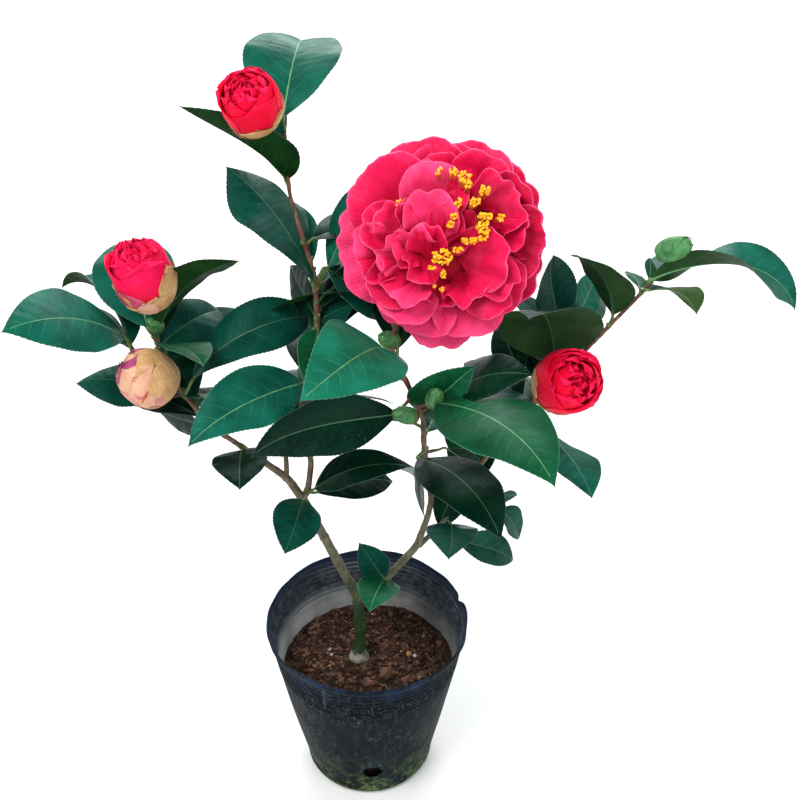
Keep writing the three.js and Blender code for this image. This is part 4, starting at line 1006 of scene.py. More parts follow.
INNER = [
    ((-7.8, -13.0, -6.0), (-25.2, -38.6, 6.0), 33.9, 8, -16, 0.2, 1.98, 2, 1.5, 0.03, 1, 1),
    ((-11.3, -11.3, -4.0), (-36.5, -24.3, 8.0), 30.4, -10, -18, 0.22, 2.42, 2, 1.75, 0.03, 1, 0),
    ((-7.8, -14.8, 0.0), (-22.6, -29.5, 14.0), 24.3, 18, -24, 0.28, 2.64, 3, 2, 0.04, 1, 1),
    ((-14.8, -4.3, -4.0), (-42.1, -12.2, 8.0), 26.9, 20, -16, 0.26, 2.86, 3, 2, 0.04, 1, 0),
    ((-13.0, -7.8, 2.0), (-30.4, -18.2, 16.0), 22.6, -20, -20, 0.3, 2.86, 3, 2, 0.04, 1, 0),
    ((-16.5, 0.0, -2.0), (-45.1, 0.9, 8.0), 26.9, -18, -14, 0.26, 2.86, 3, 2, 0.04, 1, 1),
    ((-14.8, 3.5, 0.0), (-41.2, 11.3, 10.0), 27.8, 14, -16, 0.26, 2.64, 3, 2, 0.04, 1, 0),
    ((-13.0, -2.6, 6.0), (-32.1, -6.9, 18.0), 21.7, -22, -18, 0.32, 2.86, 3, 2, 0.04, 1, 1),
    ((-11.3, 2.6, 2.0), (-30.4, 18.2, 14.0), 26.0, -14, -18, 0.3, 2.64, 3, 2, 0.04, 1, 0),
    ((-11.3, -2.6, 4.0), (-24.3, -0.9, 19.0), 22.6, 20, -10, 0.36, 2.64, 3, 2, 0.04, 1, 0),
    ((-8.7, -2.6, 6.0), (-16.5, 7.8, 21.0), 22.6, -24, -16, 0.36, 2.64, 3, 2, 0.04, 1, 1),
    ((-7.8, -4.3, 4.0), (-13.9, -18.2, 18.0), 23.4, -20, -16, 0.36, 2.64, 3, 2, 0.04, 1, 0),
    ((-3.5, -2.6, 4.0), (-6.9, 27.3, 19.0), 28.6, 4, -22, 0.34, 2.2, 3, 1.75, 0.04, 1, 1),
    ((-8.7, -0.9, 4.0), (-16.5, 24.3, 15.0), 21.7, 22, -12, 0.36, 2.42, 3, 2, 0.04, 1, 0),
    ((-0.9, -4.3, 4.0), (3.9, 21.7, 15.0), 19.1, 12, -10, 0.38, 2.42, 3, 2, 0.04, 1, 0),
    ((-5.2, -7.8, 6.0), (-6.1, 10.4, 21.0), 20.8, -8, -16, 0.38, 2.64, 3, 2, 0.04, 1, 0),
    ((-2.6, 11.3, -4.0), (-4.3, 42.5, 9.0), 34.7, -4, -34, 0.24, 1.98, 2, 1.5, 0.03, 1, 1),
    ((-0.9, 19.1, 0.0), (12.2, 31.2, 11.0), 22.6, -12, -22, 0.26, 1.76, 2, 1.5, 0.03, 1, 0),
    ((6.1, -0.9, 2.0), (13.9, 18.2, 11.0), 15.6, 10, -10, 0.36, 2.2, 3, 1.75, 0.04, 1, 2),
    ((0.9, -0.9, 2.0), (15.6, 4.3, 10.0), 14.8, -14, -10, 0.36, 1.98, 3, 1.75, 0.04, 1, 2),
    ((8.7, -6.1, 2.0), (35.2, -6.9, 19.0), 34.7, 14, -30, 0.26, 2.2, 2, 1.75, 0.04, 1, 0),
    ((9.5, -14.8, -2.0), (18.2, -28.6, 13.0), 28.6, -12, -18, 0.28, 3.08, 3, 2.25, 0.05, 1, 0),
    ((13.9, -16.5, -4.0), (33.9, -33.9, 9.0), 26.0, 10, -16, 0.24, 3.08, 3, 2.25, 0.05, 1, 0),
    ((18.2, -13.0, -2.0), (39.1, -21.7, 11.0), 24.3, -14, -18, 0.26, 3.08, 3, 2.25, 0.05, 1, 0),
    ((0.9, -16.5, -6.0), (-4.3, -30.4, 4.0), 21.7, -8, -18, 0.28, 1.98, 2, 1.75, 0.04, 1, 0),
    ((6.1, -18.2, -6.0), (8.7, -32.1, 4.0), 21.7, 10, -14, 0.28, 1.98, 2, 1.75, 0.04, 1, 0),
]
# groups of stamens: right, up, out, spread across, spread up, count
STAMENS = [
    (-0.9, 36.5, 16.0, 1.9, 1.9, 8),
    (6.5, 36.0, 16.0, 1.9, 1.9, 11),
    (12.2, 33.0, 19.0, 3.0, 3.0, 38),
    (13.9, 29.5, 19.0, 1.9, 1.9, 11),
    (17.4, 20.8, 20.0, 2.6, 2.6, 22),
    (22.1, 26.5, 20.0, 2.6, 2.6, 24),
    (22.6, 13.9, 21.0, 3.9, 1.7, 32),
    (30.4, 13.5, 19.0, 1.7, 1.7, 11),
    (21.7, 8.7, 21.0, 3.5, 3.5, 38),
    (21.7, 4.3, 21.0, 2.6, 2.6, 22),
    (8.7, 20.0, 20.0, 1.4, 1.4, 8),
    (6.9, 13.9, 21.0, 1.6, 1.6, 11),
    (5.2, 10.0, 21.0, 1.7, 1.7, 14),
    (9.5, 21.7, 20.0, 1.0, 1.0, 5),
    (-20.8, 20.8, 17.0, 1.7, 1.7, 14),
    (0.9, -6.1, 23.0, 5.2, 3.9, 70),
    (-4.3, -11.3, 21.0, 1.7, 1.7, 11),
    (8.7, -2.6, 22.0, 2.6, 1.3, 22),
    (12.2, 1.7, 22.0, 1.7, 1.7, 16),
    (16.5, 2.2, 22.0, 1.7, 1.7, 16),
    (1.7, -14.8, 18.0, 0.9, 2.6, 14),
    (0.9, -22.6, 13.0, 1.2, 1.2, 8),
    (-3.0, -20.8, 13.0, 0.9, 0.9, 5),
]
for name, table, seed0 in (("petals_outer", OUTER, 11), ("petals_inner", INNER, 57)):
    piece = Piece(name, [PETAL, PETAL_PAINTED_LIGHT, PETAL_PAINTED_SHADE, PETAL_EDGE_PAINTED_HIGHLIGHT])
    for i, (b, t, width, roll, bend, cup, ruffle, waves, crumple, notch, edge, kind) in enumerate(table):
        add_petal(piece, bloom_point(*b), bloom_point(*t), width, roll, bend, cup, ruffle, waves, crumple, notch, edge, seed0 + i, kind)
    piece.make(["bloom"], "petals")

stamens = Piece("stamens", [FILAMENT, ANTHER])
heart = Piece("bloom_heart", [PETAL_PAINTED_SHADE])
# the crowded heart, under the small petals, in the darker petal copy: painted shade
for n, (u, v, w, sx) in enumerate(((2, -3, -11, 21), (-7, 2, -5, 12), (9, 6, -5, 12), (8, -8, -6, 13))):
    hv, hf = blob(bloom_point(u, v, w), (sx, sx, 7), 70 + n, 0.5, (BLOOM_U, BLOOM_V, BLOOM_W), 3)
    heart.add(hv, hf, 0)
heart.make([], "petals")
for g, (u, v, w, su, sv, count) in enumerate(STAMENS):
    for i in range(count):
        a, b = 2 * rnd(g, i, 1) - 1, 2 * rnd(g, i, 2) - 1
        c = 2 * rnd(g, i, 3) - 1
        if count > 3 and a * a + b * b > 1:
            a, b = a * 0.7, b * 0.7
        p = bloom_point(u + a * su, v + b * sv, w + c * 1.6)
        foot = bloom_point(u * 0.93 + a * su * 0.8, v * 0.93 + b * sv * 0.8 - 0.6, w - 8)
        line = bezier(foot, foot + BLOOM_W * 3, p - BLOOM_W * 3, p, 6)
        tv, tf = tube(line, [0.28, 0.26, 0.24, 0.22, 0.2, 0.18], 5)
        stamens.add(tv, tf, 0)
        ax = unit(way(rnd(g, i, 4) * 360, rnd(g, i, 5) * 70))
        ay = unit(np.cross(ax, V(0.2, 0.3, 1)))
        av, af = blob(p, (1.0, 0.66, 0.6), g * 31 + i, 0.35, (ax, ay, np.cross(ax, ay)))
        stamens.add(av, af, 1)
stamens.make([], "petals")


# ---- scales and buds ------------------------------------------------------------
def frame_of(axis):
    w = unit(V(*axis))
    u = unit(V(1, 0, 0) - w * w[0])
    return u, np.cross(w, u), w


def add_scale(piece, centre, axes, radius, length, a0, span, t0, t1, lift, flare, tip, ruffle, seed, kind, edge_kind=None, rows=14, cols=16, thick=0.5, swirl=0.0, squeeze=0.0, jag=0.0):
    """A petal or scale that wraps an egg shape: from t0 to t1 along it, span degrees round."""
    u, v, w = axes
    top, low = [], []
    for i in range(rows + 1):
        s = i / rows
        t = t0 + (t1 - t0) * s
        # broad, then rounded or pointed at the tip
        wid = (min(1, 0.55 + 1.5 * s) if s < 0.6 else math.sqrt(max(0.0, 1 - ((s - 0.6) / 0.4) ** (2.2 if tip < 0.5 else 1.6)))) * (1 - tip * s * 0.3)
        for j in range(cols + 1):
            q = 2 * j / cols - 1
            a = math.radians(a0 + swirl * s + q * span / 2 * max(0.03, wid))
            tt = t - 0.10 * (q * q) * (t1 - t0) * s
            egg = math.sqrt(max(0.02, 1 - (2 * tt) ** 2)) ** 0.85
            r = radius * egg * (1 - squeeze * max(0, tt)) + lift + flare * s ** 4
            r += ruffle * s ** 2 * math.sin(q * 5.5 + seed) + 0.5 * ruffle * fuzz(q * 3 + seed, s * 3, seed * 0.3)
            h = tt * length + 0.25 * flare * s ** 5 + jag * s ** 6 * (fuzz(q * 3.7 + seed * 1.9, seed, 1.0) * 2.4 + fuzz(q * 11 + seed, seed, 4.0) * 1.2)
            r += jag * s ** 6 * 0.7 * fuzz(q * 6 + seed * 2.7, seed * 1.1, 7.0)
            n = u * math.cos(a) + v * math.sin(a)
            p = centre + n * r + w * h
            top.append(p + n * thick * 0.5)
            low.append(p - n * thick * 0.5)
    m = cols + 1
    o = len(top)
    faces, kinds = [], []
    ek = kind if edge_kind is None else edge_kind
    for i in range(rows):
        for j in range(cols):
            a = i * m + j
            k = ek if i == rows - 1 else kind
            faces += [(a, a + 1, a + m + 1, a + m), (o + a, o + a + m, o + a + m + 1, o + a + 1)]
            kinds += [k, k]
    for j in range(cols):
        a = rows * m + j
        faces += [(a, a + 1, a + 1 + o, a + o), (j, j + o, j + 1 + o, j + 1)]
        kinds += [ek, kind]
    for i in range(rows):
        a, b = i * m, i * m + cols
        faces += [(a, a + m, a + m + o, a + o), (b, b + o, b + m + o, b + m)]
        kinds += [kind, kind]
    uv = [(j / cols + seed, i / rows) for i in range(rows + 1) for j in range(cols + 1)]
    piece.add(top + low, faces, kinds, uv + uv)


def papery(name, a, b, c):
    """Thin dry scale: broad patches of two tones with fine lines that run along it."""
    m = Mat(name, 0.6, Specular_IOR_Level=0.3)
    k = m.mix(m.band(m.noise(70, 4, 0.6), 0.38, 0.64), srgb(*a), srgb(*b))
    w = m.n.new("ShaderNodeTexWave")
    w.bands_direction = "X"
    w.inputs["Scale"].default_value = 3.0
    w.inputs["Distortion"].default_value = 9.0
    w.inputs["Detail"].default_value = 3.0
    uv = m.n.new("ShaderNodeUVMap")
    uv.uv_map = "lay"
    m.l.new(uv.outputs[0], w.inputs["Vector"])
    k = m.mix(m.band(w.outputs["Fac"], 0.55, 1.0, 0, 0.16), k, srgb(*c))
    k = m.mix(m.band(m.noise(160, 5, 0.65), 0.56, 0.7, 0, 0.4), k, srgb(*c))
    m.colour(k)
    m.bump(w.outputs["Fac"], 0.25, 0.0003)
    m.bump(m.noise(130, 4), 0.35, 0.0008)
    m.bump(m.noise(420, 4), 0.25, 0.0003)
    return m.m


SCALE_TAN = papery("scale_tan", (190, 144, 92), (214, 172, 124), (166, 112, 74))
SCALE_PINK = papery("scale_pink", (212, 156, 130), (220, 180, 142), (202, 116, 112))
SCALE_PURPLE = papery("scale_purple", (140, 36, 96), (196, 84, 124), (110, 26, 78))
SCALE_ROSE = papery("scale_rose", (182, 48, 88), (210, 96, 108), (160, 28, 80))
SCALE_BLUSH = papery("scale_blush", (204, 116, 122), (222, 158, 134), (184, 86, 112))
SCALE_BROWN = papery("scale_brown", (150, 98, 52), (176, 126, 76), (112, 70, 38))
SLIT = plain("scale_slit", (216, 96, 48), (176, 60, 36), 0.6, 160)
BUD_RED = petal_material("bud_red", (250, 4, 84), (222, 0, 54), (255, 44, 112), 0.55)
BUD_DARK = petal_material("bud_dark", (212, 0, 44), (164, 0, 28), (246, 14, 72), 0.55)
BUD_EDGE = plain("bud_edge", (250, 30, 92), (240, 8, 66), 0.5, 160, Specular_IOR_Level=0.12)
BUD_WINE = petal_material("bud_wine", (246, 0, 56), (218, 0, 38), (252, 26, 80), 0.55)


def core(piece, centre, axes, radius, length, kind, seed):
    u, v, w = axes
    cv, cf = blob(centre, (radius, radius, length / 2), seed, 0.1, (u, v, w), 2)
    piece.add(cv, cf, kind)


def red_bud(name, centre, axis, radius, length, seed, node, bracts=(), crown=1.0, open_side=0.0, red=None, stalk=None):
    axes = frame_of(axis)
    centre = V(*centre)
    piece = Piece(name, [red or BUD_RED, BUD_DARK, BUD_EDGE, SCALE_TAN, SCALE_BROWN, SEPAL, SCALE_PURPLE, SCALE_PINK, SCALE_ROSE])
    core(piece, centre - axes[2] * length * 0.03, axes, radius * 0.7, length * 0.84, 0, seed)
    if stalk:
        base = centre - axes[2] * length * 0.46
        tv, tf = tube(bezier(V(*stalk), V(*stalk) + (base - V(*stalk)) * 0.4, base - axes[2] * 3, base + axes[2] * 2, 8), [1.6, 1.6, 1.7, 1.8, 2.0, 2.4, 3.0, 3.8], 12)
        piece.add(tv, tf, 5)
    # a tight spiral at the heart, then wider wrapping petals
    for i in range(8):
        q = i / 7
        add_scale(piece, centre, axes, radius * (0.10 + 0.36 * q), length, 137.5 * i + 10, 230 - 70 * q, -0.05, 0.53 - 0.02 * q, 0.2, 0.6 * q, 0.1, 0.4, seed + 5 + i * 2.1, 0, 2 if i % 2 else None, 14, 22, 0.45, 40, 0.0, 0.25)
    layers = ((0.56, 3, 0.50, 150), (0.68, 4, 0.485, 124), (0.80, 4, 0.46, 120), (0.91, 4, 0.42, 116), (0.97, 3, 0.36, 128))
    for L, (scale, count, top_at, span) in enumerate(layers):
        for i in range(count):
            a0 = 360 * i / count + 47 * L + 16 * (2 * rnd(seed, L, i) - 1)
            out = 0.5 + 0.5 * math.cos(math.radians(a0 - open_side))
            add_scale(piece, centre, axes, radius * scale, length, a0, span + 24, -0.36, top_at + 0.03 * (2 * rnd(seed, i, L + 9) - 1) + 0.03 * out * crown, 0.4, (0.5 + (0.5 + 1.6 * out) * (L / 4) * 1.3) * crown,
                      0.08, 0.75 * crown, seed + L * 13 + i * 3.3, 0, 2, 22, 30, 0.5, 20 - 4 * L, 0.06, 0.75 * crown)
    for i, (a0, span, t1, kind) in enumerate(bracts):
        add_scale(piece, centre, axes, radius * 1.0, length, a0, span, -0.47, t1, 0.3 + 0.25 * (i % 3), 0.6, 0.2, 0.35, seed + 70 + i, kind, None, 14, 16, 0.6, 0.0, 0.0, 0.7)
    piece.make([node], "petals")


BRACTS_LEFT = [(205, 110, 0.04, 3), (238, 84, 0.05, 8), (276, 44, -0.12, 7), (300, 90, -0.10, 3), (345, 80, 0.20, 3), (30, 110, 0.02, 3), (110, 110, -0.10, 3), (240, 90, -0.24, 3), (60, 90, -0.24, 3)]
BRACTS_TOP = [(338, 60, 0.0, 3), (282, 90, -0.04, 3), (30, 90, -0.16, 3), (110, 110, -0.2, 3), (195, 110, -0.22, 3), (240, 80, -0.24, 4)]
BRACTS_RIGHT = [(182, 60, 0.06, 3), (215, 90, -0.20, 3), (285, 100, -0.22, 3), (20, 110, -0.22, 3), (110, 110, -0.20, 5), (250, 80, -0.28, 5)]
red_bud("bud_left_petals", (-116.5, -9.5, 386), (-0.14, -0.20, 0.96), 16.0, 42, 3, "bud_red_left", BRACTS_LEFT, 1.1, 200)
red_bud("bud_top_petals", (-51.1, -7.9, 478.9), (-0.12, -0.62, 0.77), 14.9, 33.5, 8, "bud_red_top", BRACTS_TOP, 0.75, 160, BUD_WINE, (-49.2, 16.0, 459.0))
red_bud("bud_right_petals", (119, -8, 319), (0.28, -0.74, 0.57), 18.8, 42, 15, "bud_red_right", BRACTS_RIGHT, 1.0, 20, BUD_WINE)

# the closed bud: pale papery scales, purple where the petals show at the tip
closed = Piece("bud_closed_scales", [SCALE_TAN, SCALE_PINK, SCALE_PURPLE, SCALE_BROWN, SLIT, SCALE_BLUSH])
axes = frame_of((-0.73, 0.02, 0.68))
at = V(-121.5, -14, 325.5)
core(closed, at, axes, 15.8, 34.5, 1, 21)
# angle, span, from, to, lift, kind
for i, (a0, span, t0, t1, lift, kind) in enumerate((
        (20, 150, -0.1, 0.5, 0.0, 2), (150, 160, -0.1, 0.49, 0.1, 5), (270, 170, -0.1, 0.5, 0.1, 2),
        (-96, 140, -0.45, 0.445, 0.35, 1), (-20, 140, -0.45, 0.45, 0.45, 0), (80, 150, -0.45, 0.455, 0.35, 0), (175, 150, -0.45, 0.455, 0.4, 1),
        (-84, 120, -0.47, 0.23, 0.75, 1), (-150, 96, -0.47, 0.24, 0.8, 5), (40, 120, -0.48, 0.24, 0.8, 0), (130, 120, -0.48, 0.2, 0.8, 0),
        (-34, 110, -0.49, 0.12, 1.15, 0), (-116, 84, -0.49, -0.08, 1.2, 1), (70, 120, -0.49, 0.02, 1.15, 0), (170, 110, -0.49, 0.0, 1.2, 3),
        (-92, 36, -0.5, -0.26, 1.45, 5), (-10, 80, -0.5, -0.20, 1.5, 0), (-60, 60, -0.5, -0.28, 1.5, 0), (110, 110, -0.5, -0.25, 1.5, 3), (-150, 80, -0.5, -0.24, 1.45, 3))):
    add_scale(closed, at, axes, 15.7, 35, a0, span, t0, t1, lift, -0.1, 0.12, 0.16, 31 + i * 1.7, kind, None, 20, 26, 0.4, 6, 0.02, 0.22)
add_scale(closed, at, axes, 15.7, 35, -112, 16, -0.14, -0.07, 1.45, 0.0, 0.5, 0.2, 77, 4, None, 10, 8, 0.3, 30, 0.03, 0.3)
closed.make(["bud_closed"], "bud_scales")


def green_bud(piece, centre, axis, radius, length, seed, kind=0):
    axes = frame_of(axis)
    centre = V(*centre)
    core(piece, centre, axes, radius * 0.88, length * 0.96, kind, seed)
    for L, (count, t0, t1, span) in enumerate(((3, -0.40, 0.49, 130), (3, -0.46, 0.30, 120), (4, -0.48, 0.04, 100), (4, -0.49, -0.22, 96))):
        for i in range(count):
            a0 = 360 * i / count + 50 * L + 9
            add_scale(piece, centre, axes, radius * 0.93, length, a0, span, t0, t1, 0.15 + 0.18 * L, 0.0, 0.6, 0.12, seed + L * 5 + i, kind if L < 3 else 1, None, 12, 12, 0.4, 6, 0.25)


LIGHT_GREEN = plain("bud_light_green", (86, 148, 88), (52, 104, 58), 0.42, 120, 0.12, Specular_IOR_Level=0.2)
tip_bud = Piece("bud_green_scales", [LIGHT_GREEN, BUD_GREEN])
green_bud(tip_bud, (177, 17, 391.5), (0.92, -0.1, 0.38), 6.8, 22, 41)
tip_bud.make(["bud_green_tip"], "green_bud")
small = Piece("buds_green_small", [BUD_GREEN, SEPAL, LIGHT_GREEN])
green_bud(small, (-118.8, 5.3, 349.2), (-0.35, -0.5, 0.7), 5.0, 12, 3)
green_bud(small, (16.3, -3.6, 344.2), (-0.75, -0.4, 0.5), 5.2, 15, 7)
green_bud(small, (25.4, -25.9, 307.7), (-0.95, -0.2, 0.35), 4.9, 17, 9)
green_bud(small, (42.3, -26.0, 319.1), (0.1, -0.35, 0.95), 5.2, 15, 13)

small.make([], "green_bud")

# sepals and stalk under the bloom
calyx = Piece("bloom_sepals", [SEPAL, SCALE_BROWN])
axes = (BLOOM_U, BLOOM_V, BLOOM_W)
for L, (count, t0, t1, span, kind) in enumerate(((5, -0.5, 0.34, 84, 0), (5, -0.5, 0.12, 80, 0), (5, -0.5, -0.1, 76, 1))):
    for i in range(count):
        add_scale(calyx, BLOOM_AT - BLOOM_W * 21, axes, 13.5, 22, 72 * i + 36 * L, span, t0, t1, 0.3 * L, 1.6, 0.4, 0.4, 90 + L * 6 + i, kind, 1, 10, 12, 0.7)
cv, cf = blob(BLOOM_AT - BLOOM_W * 24, (12, 12, 8), 5, 0.1, axes, 2)
calyx.add(cv, cf, 0)
calyx.make([], "petals")


# ---- pot ----------------------------------------------------------------------------
def pot_materials():
    out = Mat("pot_plastic", 0.6, Specular_IOR_Level=0.07)
    z = out.axis("Z")
    patch = out.noise(24, 5, 0.6)
    c = out.mix(out.band(patch, 0.38, 0.64), srgb(2, 5, 8), srgb(13, 24, 31))
    c = out.mix(out.band(out.noise(60, 5, 0.65), 0.54, 0.7, 0, 0.4), c, srgb(30, 43, 50))
    c = out.mix(out.band(out.noise(230, 4, 0.7, (1.0, 1.0, 0.5)), 0.53, 0.68, 0, 0.42), c, srgb(58, 70, 76))
    dust = out.math("MULTIPLY", out.band(out.noise(520, 5, 0.75), 0.55, 0.66), out.band(out.noise(40, 4), 0.4, 0.62))
    c = out.mix(out.math("MULTIPLY", dust, 0.6), c, srgb(100, 110, 114))
    green = out.math("MULTIPLY", out.band(out.noise(75, 6, 0.75), 0.45, 0.6), out.band(z, 0.046, 0.006))
    moss = out.mix(out.band(out.noise(300, 4, 0.7), 0.4, 0.62), srgb(46, 62, 40), srgb(96, 116, 62))
    c = out.mix(out.math("MULTIPLY", green, 0.88), c, moss)
    blue = out.math("MULTIPLY", out.band(out.noise(46, 4), 0.4, 0.6), out.band(z, 0.112, 0.124))
    c = out.mix(out.math("MULTIPLY", blue, 0.7), c, srgb(34, 49, 76))
    scratch = out.noise(120, 4, 0.7, (1.0, 1.0, 0.12))
    c = out.mix(out.band(scratch, 0.62, 0.70, 0, 0.35), c, srgb(96, 102, 106))
    out.colour(c)
    out.rough(patch, 0.5, 0.75)
    out.bump(out.noise(70, 5, 0.6), 0.4, 0.0012)
    out.bump(scratch, 0.25, 0.0003)
    inn = Mat("pot_inside", 0.75, Specular_IOR_Level=0.2)
    patch = inn.noise(40, 5, 0.6)
    c = inn.mix(inn.band(patch, 0.35, 0.65), srgb(136, 138, 138), srgb(182, 182, 180))
    # paler on the -X side, darker towards +X: painted light on one side of the inner wall and painted shade on the
    # other
    c = inn.mix(inn.band(inn.axis("X"), 0.0, 0.05), c, inn.mix(inn.band(patch, 0.35, 0.65), srgb(74, 78, 80), srgb(128, 128, 126)))
    grime = inn.mix(inn.band(inn.noise(180, 5, 0.7), 0.42, 0.6), srgb(26, 34, 44), srgb(66, 72, 80))
    rings = inn.math("FRACT", inn.math("MULTIPLY", inn.math("SUBTRACT", inn.axis("Z"), 0.0965), 285.7))
    grime = inn.mix(inn.band(rings, 0.6, 0.92, 0, 0.75), grime, srgb(118, 124, 130))
    c = inn.mix(inn.band(inn.axis("Z"), 0.092, 0.106), c, grime)
    c = inn.mix(inn.band(inn.axis("Z"), 0.119, 0.125), c, srgb(26, 38, 60))
    inn.colour(c)
    inn.bump(inn.noise(260, 4), 0.4, 0.0005)
    return out.m, inn.m


def pot_radius(z):
    return POT_FOOT + (POT_RIM - 1.6 - POT_FOOT) * (z - POT_TURN) / (POT_HEIGHT - 5 - POT_TURN)


POT_OUT, POT_IN = pot_materials()
pot = Piece("nursery_pot", [POT_OUT, POT_IN])
TURNS = 288
profile = [(0.01, 1.2), (12, 1.0), (24, 0.8), (33, 0.4), (38.0, 0.0), (41.5, 0.3), (44.2, 1.6), (45.6, 4.2), (45.9, 7.0)]
for z in [9.0, 11.5, 14.0, 16.5, 18.5, *np.arange(19.5, 39.0, 0.75), *np.arange(39.5, 96.0, 2.5)]:
    profile.append((pot_radius(z), z))
ribs = 7
for i in range(ribs):
    z0 = 97.0 + 3.5 * i
    for dz, dr in ((0, 0), (0.8, 0.15), (1.5, 0.75), (2.3, 0.75), (3.0, 0.15)):
        profile.append((pot_radius(z0 + dz) - 0.5 + dr, z0 + dz))
profile += [(pot_radius(121.6), 121.6), (pot_radius(122) + 0.4, 122.4), (69.6, 123.2), (70.0, 124.4), (70.0, 126.2), (69.6, 126.9)]
outer_n = len(profile)
inner = [(68.9, 126.8), (68.5, 126.0), (68.3, 123.6), (pot_radius(121) - 0.9, 121.8)]
for i in range(ribs - 1, -1, -1):
    z0 = 97.0 + 3.5 * i
    for dz, dr in ((3.0, 0.15), (2.3, 0.75), (1.5, 0.75), (0.8, 0.15), (0, 0)):
        inner.append((pot_radius(z0 + dz) - 1.55 + dr, z0 + dz))
for z in np.arange(94.0, 60.0, -4.0):
    inner.append((pot_radius(z) - 1.2, z))
profile += inner
HOLES = [math.radians(-86 + 90 * k) for k in range(4)]
HOLE_Z = 28.5
verts = []
for i, (r, z) in enumerate(profile):
    top = smooth(60, 127, z)
    for k in range(TURNS):
        a = 2 * math.pi * k / TURNS
        c, s = math.cos(a), math.sin(a)
        wob = 1.3 * top * fuzz(c * 1.6 + 3, s * 1.6, 0.5) + 0.8 * top * fuzz(c * 4.2, s * 4.2, 2.0)
        wob += 0.35 * smooth(8, 30, z) * fuzz(c * 3, s * 3, z * 0.03) - 0.6 * top
        dent = math.exp(-(((a - math.radians(17)) / 0.05) ** 2)) * smooth(114, 126, z) * 2.0
        high = smooth(108, 127, z)
        lift = high * (0.8 * fuzz(c * 2.3 + 9, s * 2.3, 4.0) + 0.35 * fuzz(c * 6 + 2, s * 6, 8.0) - 0.4)
        lift += high * (2.8 * math.exp(-((math.atan2(math.sin(a - 1.6), math.cos(a - 1.6)) / 0.7) ** 2)) + 3.4 * math.exp(-((math.atan2(math.sin(a + 1.57), math.cos(a + 1.57)) / 0.85) ** 2)))
        lift += high * 2.0 * math.exp(-((math.atan2(math.sin(a + 2.2), math.cos(a + 2.2)) / 0.22) ** 2))
        lift -= high * (0.8 * math.exp(-((math.atan2(math.sin(a + 1.55), math.cos(a + 1.55)) / 0.1) ** 2)) + 1.5 * math.exp(-((math.atan2(math.sin(a - 0.30), math.cos(a - 0.30)) / 0.05) ** 2)))
        rr = max(0.01, r + (wob - dent) * (1 if r > 20 else 0))
        if i < outer_n and r > 20 and r > 69.4:
            rr = min(rr, 70.2)
        verts.append(V(rr * c, rr * s, z + lift))
faces, kinds = [], []
for i in range(len(profile) - 1):
    zm, rm = (profile[i][1] + profile[i + 1][1]) / 2, profile[i][0]
    for k in range(TURNS):
        a = 2 * math.pi * (k + 0.5) / TURNS
        if i < outer_n and rm > 44:
            cut = any(((math.atan2(math.sin(a - h), math.cos(a - h)) * 47.5) / 7.4) ** 2 + ((zm - HOLE_Z) / 8.3) ** 2 < 1 for h in HOLES)
            if cut:
                continue
        j = (k + 1) % TURNS
        faces.append((i * TURNS + k, i * TURNS + j, (i + 1) * TURNS + j, (i + 1) * TURNS + k))
        kinds.append(0 if i < outer_n + 1 else 1)
pot.add(verts, faces, kinds)
for h in HOLES:  # the cut edge of each hole
    ring_o, ring_i = [], []
    for k in range(40):
        b = 2 * math.pi * k / 40
        z = HOLE_Z + 7.5 * math.sin(b) + 0.35 * math.sin(3 * b + h)
        a = h + (6.4 * math.cos(b) + 0.3 * math.sin(2 * b)) / 47.5
        for out_ring, r in ((ring_o, pot_radius(z) + 0.25), (ring_i, pot_radius(z) - 1.0)):
            out_ring.append(V(r * math.cos(a), r * math.sin(a), z))
    wide = []
    for k in range(40):
        b = 2 * math.pi * k / 40
        z = HOLE_Z + 9.8 * math.sin(b)
        a = h + 9.0 * math.cos(b) / 47.5
        r = pot_radius(z) + 0.1
        wide.append(V(r * math.cos(a), r * math.sin(a), z))
    f = [(k, (k + 1) % 40, 40 + (k + 1) % 40, 40 + k) for k in range(40)] + [(80 + k, 80 + (k + 1) % 40, (k + 1) % 40, k) for k in range(40)]
    pot.add(ring_o + ring_i + wide, f, 0)
pot.make(["pot"], "pot")


# ---- soil ---------------------------------------------------------------------------
def soil_material(name, a, b, c2, rough=0.95):
    m = Mat(name, rough, Specular_IOR_Level=0.15)
    patch = m.noise(120, 6, 0.65)
    c = m.mix(m.band(patch, 0.36, 0.64), srgb(*a), srgb(*b))
    c = m.mix(m.band(m.noise(420, 4), 0.56, 0.68, 0, 0.7), c, srgb(*c2))
    m.colour(c)
    m.bump(m.noise(700, 5, 0.7), 0.7, 0.0006)
    return m.m


SOIL = soil_material("soil", (26, 17, 13), (60, 42, 34), (92, 68, 55))
CRUMB_A = soil_material("soil_crumb", (38, 26, 20), (82, 58, 47), (118, 90, 74))
CRUMB_B = soil_material("soil_crumb_warm", (66, 44, 35), (112, 80, 64), (146, 112, 90))
CHIP = soil_material("bark_chip", (58, 38, 30), (98, 70, 56), (136, 106, 84))
FIBRE = soil_material("root_fibre", (96, 70, 54), (142, 112, 88), (170, 142, 116))
TAN = soil_material("tan_chip", (132, 98, 66), (168, 132, 94), (112, 84, 60))
PERLITE = soil_material("perlite", (170, 166, 156), (206, 204, 196), (140, 130, 118))


def soil_z(x, y):
    r = math.hypot(x, y)
    z = SOIL_LEVEL + 2.0 * float(smooth(36, 15, r)) - 0.6 * float(smooth(46, 60, r))
    z += 1.5 * fuzz(x / 16, y / 16, 1.0) + 1.1 * fuzz(x / 6, y / 6, 3.0) + 0.6 * fuzz(x / 2.4, y / 2.4, 7.0)
    return z


